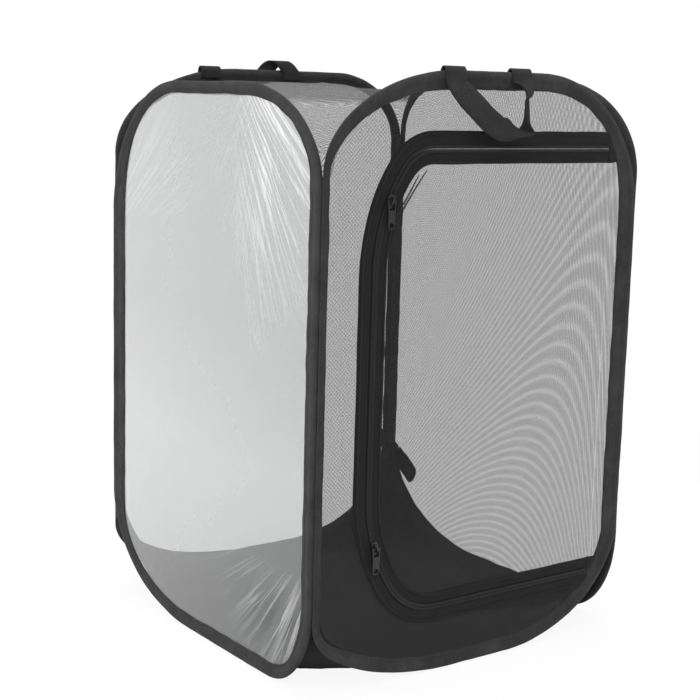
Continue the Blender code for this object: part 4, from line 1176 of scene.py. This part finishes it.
def make_zip_ends():
    """Both ends of the zip, tucked under the front binding's hem beyond the fold."""
    parts = (-1, -0.5, 0, 0.5, 1)
    for name, level, down in (("top", ZIP_TOP, -1), ("bottom", ZIP_BOTTOM, 1)):
        rows = []
        for k in range(7):
            share = k / 6
            row = []
            for half in (0.0006, -0.0003):
                for part in parts if half > 0 else parts[::-1]:
                    z = level - down * part * (0.0160 - 0.002 * share) - down * 0.0012
                    z += wobble((k * 0.7, part, level), 0.0006, 3)
                    at = extent("front", 0.0095, z)[1]
                    x = FOLD_X - 0.0065 + (at - FOLD_X + 0.0065) * share
                    row.append(Vector((x, TAPE_PLANE - half + 0.0009 * share, z)))
            rows.append(row)
        us = [0.003 * k for k in range(7)]
        vs = [0.004 * k for k in range(11)]
        end = grid_mesh(f"zip_end_{name}", rows, TAPE, us, vs, wrap_cols=True, caps=True)
        dress(outward(end), "cage", "zip_tape")


def make_zip():
    make_zip_ends()
    for name, sign, body in (("frame", -1, "cage"), ("door", 1, "door")):
        make_tape(name, sign, body)
        make_coil(name, sign, body)
        make_hem(name, sign, body)
        threads = []
        for across, pace in ((0.0046, 0.0022), (HEM_AT[name] - 0.0028, 0.0026)):
            seam = beside_zip(FOLD_X - ZIP_STOPS["stitching"], sign * across, 0.00048)
            threads += dashes(seam, pace, 0.0008)
        dress(thread_mesh(f"zip_stitching_{name}", threads, ZIP_THREAD), body, "zip_tape")


# Handles and tie
def crest(sign, inner_x, outer_x, lift, steps=8):
    """Stations over a binding's top, from straight inside it to straight outside."""
    stations = []
    for step in range(steps + 1):
        angle = math.pi - math.pi * step / steps
        x = outer_x + (inner_x - outer_x) * angle / math.pi
        away, up = STRAP_OUT * math.cos(angle), (STRAP_UP + lift) * math.sin(angle)
        stations.append(((x, sign * (HALF_SPAN + away), FRONT_TOP + up), (1, 0, 0), 0))
    return stations


def make_handle(side, left, right, lean, lifts, shape):
    """A whole handle: sewn end, free loop and sewn end, bending on the binding's crest.

    The shape's points are a share of the way from left to right, how far out and down they
    are, and the way of the webbing's width there.
    """
    sign = -1 if side == "front" else 1
    start = Vector((0, sign * (HALF_SPAN + STRAP_OUT), FRONT_TOP))
    loop = []
    for share, out, down, way in shape:
        loop.append((start + Vector((left + (right - left) * share, sign * out, -down)), way, 1))
    ends = []
    for inner_x, outer_x, lift in ((left, left, lifts[0]), (right + lean, right, lifts[1])):
        tail = ((inner_x, sign * (HALF_SPAN - STRAP_OUT), FRONT_TOP - 0.0062), (1, 0, 0), 0)
        ends.append([tail] + crest(sign, inner_x, outer_x, lift))
    turned = [(centre, shape[-1][-1], 0) for centre, _, _ in ends[1][::-1]]
    strap = make_strap(f"handle_{side}_webbing", ends[0] + loop + turned, STRAP_WIDTH, 5)
    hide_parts(f"handle_{side}", f"handle_{side}_end_left", f"handle_{side}_end_right")
    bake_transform(strap)
    threads = []
    inside = (sign * (HALF_SPAN - STRAP_OUT - 0.0009), FRONT_TOP - 0.0035)
    for at, slant in ((left, 0.0), (right, lean)):
        for row in (-0.009, 0.0, 0.009):
            inner = Vector((at + slant + row - 0.0015, *inside))
            threads.append((inner, inner + Vector((0.003, 0, 0))))
    dress(thread_mesh(f"handle_{side}_stitching", threads, 0.0003), "cage", "webbing")


def make_handles():
    hanging = [
        (0.00, 0.0022, 0.008, (1, 0, 0)),
        (0.09, 0.0075, 0.0190, (0.70, 0.12, 0.66)),
        (0.22, 0.0110, 0.0292, (0.62, 0.10, 0.78)),
        (0.40, 0.0120, 0.0410, (0.60, 0.12, 0.78)),
        (0.58, 0.0125, 0.0480, (0.54, 0.25, 0.78)),
        (0.72, 0.0125, 0.0475, (0.30, 0.62, 0.72)),
        (0.86, 0.0125, 0.0495, (0.12, 0.92, 0.38)),
        (0.945, 0.0125, 0.0500, (0.10, 0.97, 0.16)),
        (0.955, 0.0125, 0.0420, (0.48, 0.88, 0.04)),
        (0.955, 0.0125, 0.0300, (0.57, 0.82, 0)),
        (0.960, 0.0105, 0.0160, (0.66, 0.75, 0)),
        (1.00, 0.0022, 0.006, (1, 0, 0)),
    ]
    make_handle("front", -0.054, 0.028, 0.0, (0.0018, 0.0018), hanging)
    lying = [
        (0.00, 0.0016, 0.006, (1, 0, 0)),
        (0.05, 0.0080, 0.0095, (1, 0, 0)),
        (0.26, 0.0140, 0.0108, (0.50, -0.55, 0.66)),
        (0.52, 0.0150, 0.0112, (0, -0.72, 0.70)),
        (0.78, 0.0140, 0.0108, (-0.50, -0.55, 0.66)),
        (0.95, 0.0080, 0.0095, (-1, 0, 0)),
        (1.00, 0.0016, 0.006, (-1, 0, 0)),
    ]
    make_handle("back", -0.079, -0.004, 0.034, (0.0004, 0.0092), lying)


def make_tie():
    """The tie strap: sewn round the back right corner, then folded along the side."""
    out = HALF_SPAN + STRAP_OUT
    corner = HALF_SPAN + STRAP_OUT * 0.4
    turn = [
        (HALF_RUN - 0.010, out),
        (HALF_RUN - 0.002, out),
        (corner, out - STRAP_THICK * 0.4),
        (out - STRAP_THICK * 0.4, corner),
        (out, HALF_RUN - 0.002),
    ]
    drop = 0.024 / 4
    ends = [((x, y, 0.1275 - drop * k), (0, 0, 1), 0) for k, (x, y) in enumerate(turn)]
    dress(make_strap("tie_strap_sewn_end", ends, STRAP_WIDTH, 6), "cage", "webbing", "tie_strap_end")
    origin = Vector((out + STRAP_THICK + 0.0003, HALF_RUN + 0.0035, 0.1035))
    along = Vector((0, -math.cos(TIE_SLOPE), -math.sin(TIE_SLOPE)))
    across = Vector((0, -math.sin(TIE_SLOPE), math.cos(TIE_SLOPE)))
    loop = []
    for share in (0, 0.12, 0.34, 0.62, 0.84, 1.0):
        lift = Vector((0.0012 * math.sin(math.pi * share) ** 2, 0, 0))
        loop.append((origin + along * TIE_LENGTH * share + lift, across, 1))
    dress(make_strap("tie_strap_webbing", loop, STRAP_WIDTH, 6, tip=True), "tie", "webbing", "tie_strap")


def make_stage():
    """A white floor and plain soft light, all round."""
    size = 0.75
    ring = [(size * math.cos(a * math.pi / 32), size * math.sin(a * math.pi / 32)) for a in range(64)]
    rows = [[(x * share, y * share, -0.0004) for x, y in ring] for share in (0.01, 0.5, 1.0)]
    material, shader = base_material("studio_floor", (0.93, 0.93, 0.93), 0.9, specular=0.0)
    nodes = material.node_tree.nodes
    seen = Field(material, nodes.new("ShaderNodeLightPath").outputs["Is Camera Ray"]) * 0.92
    mix_shaders(material.node_tree, seen.socket, shader, nodes.new("ShaderNodeEmission"))
    grid_mesh("studio_floor", rows, material, wrap_cols=True)
    world = bpy.data.worlds.new("studio")
    bpy.context.scene.world = world
    world.use_nodes = True
    nodes = world.node_tree.nodes
    lit, seen = nodes["Background"], nodes.new("ShaderNodeBackground")
    for back, strength in ((lit, 0.85), (seen, 1.0)):
        back.inputs["Color"].default_value = (1, 1, 1, 1)
        back.inputs["Strength"].default_value = strength
    path = nodes.new("ShaderNodeLightPath")
    mix_shaders(world.node_tree, path.outputs["Is Camera Ray"], lit, seen, "World Output")
    for name, spot, aim, size, power in (
        ("key", (-1.6, -1.4, 2.2), (0, 0, 0.3), 1.6, 26),
        ("side", (-2.2, 1.3, 1.0), (-0.2, 0, 0.3), 1.2, 16),
        ("top", (0.3, 0.2, 2.6), (0, 0, 0.3), 2.0, 22),
    ):
        data = bpy.data.lights.new(name, "AREA")
        data.size = size
        data.energy = power
        way = Vector(aim) - Vector(spot)
        turn = way.to_track_quat("-Z", "Y").to_matrix().to_4x4()
        link_object(name, data).matrix_world = Matrix.Translation(spot) @ turn


def paint(name, material):
    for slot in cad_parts[name].material_slots:
        slot.material = material


bpy.context.scene.view_settings.view_transform = "Standard"
place_camera()
make_stage()
make_bindings()
make_film()
make_roof()
make_floor()
make_corner_tapes()
make_joining_strips()
make_wires()
make_plain_nets()
make_surround_net()
make_door_net()
make_door_folds()
make_zip()
make_handles()
make_tie()
for node in ("zip_slider_upper", "zip_slider_lower", "zip_pull_upper", "zip_pull_lower"):
    paint(node, ENAMEL)
for side in PANELS:
    paint(f"wire_ferrule_{side}", STEEL)
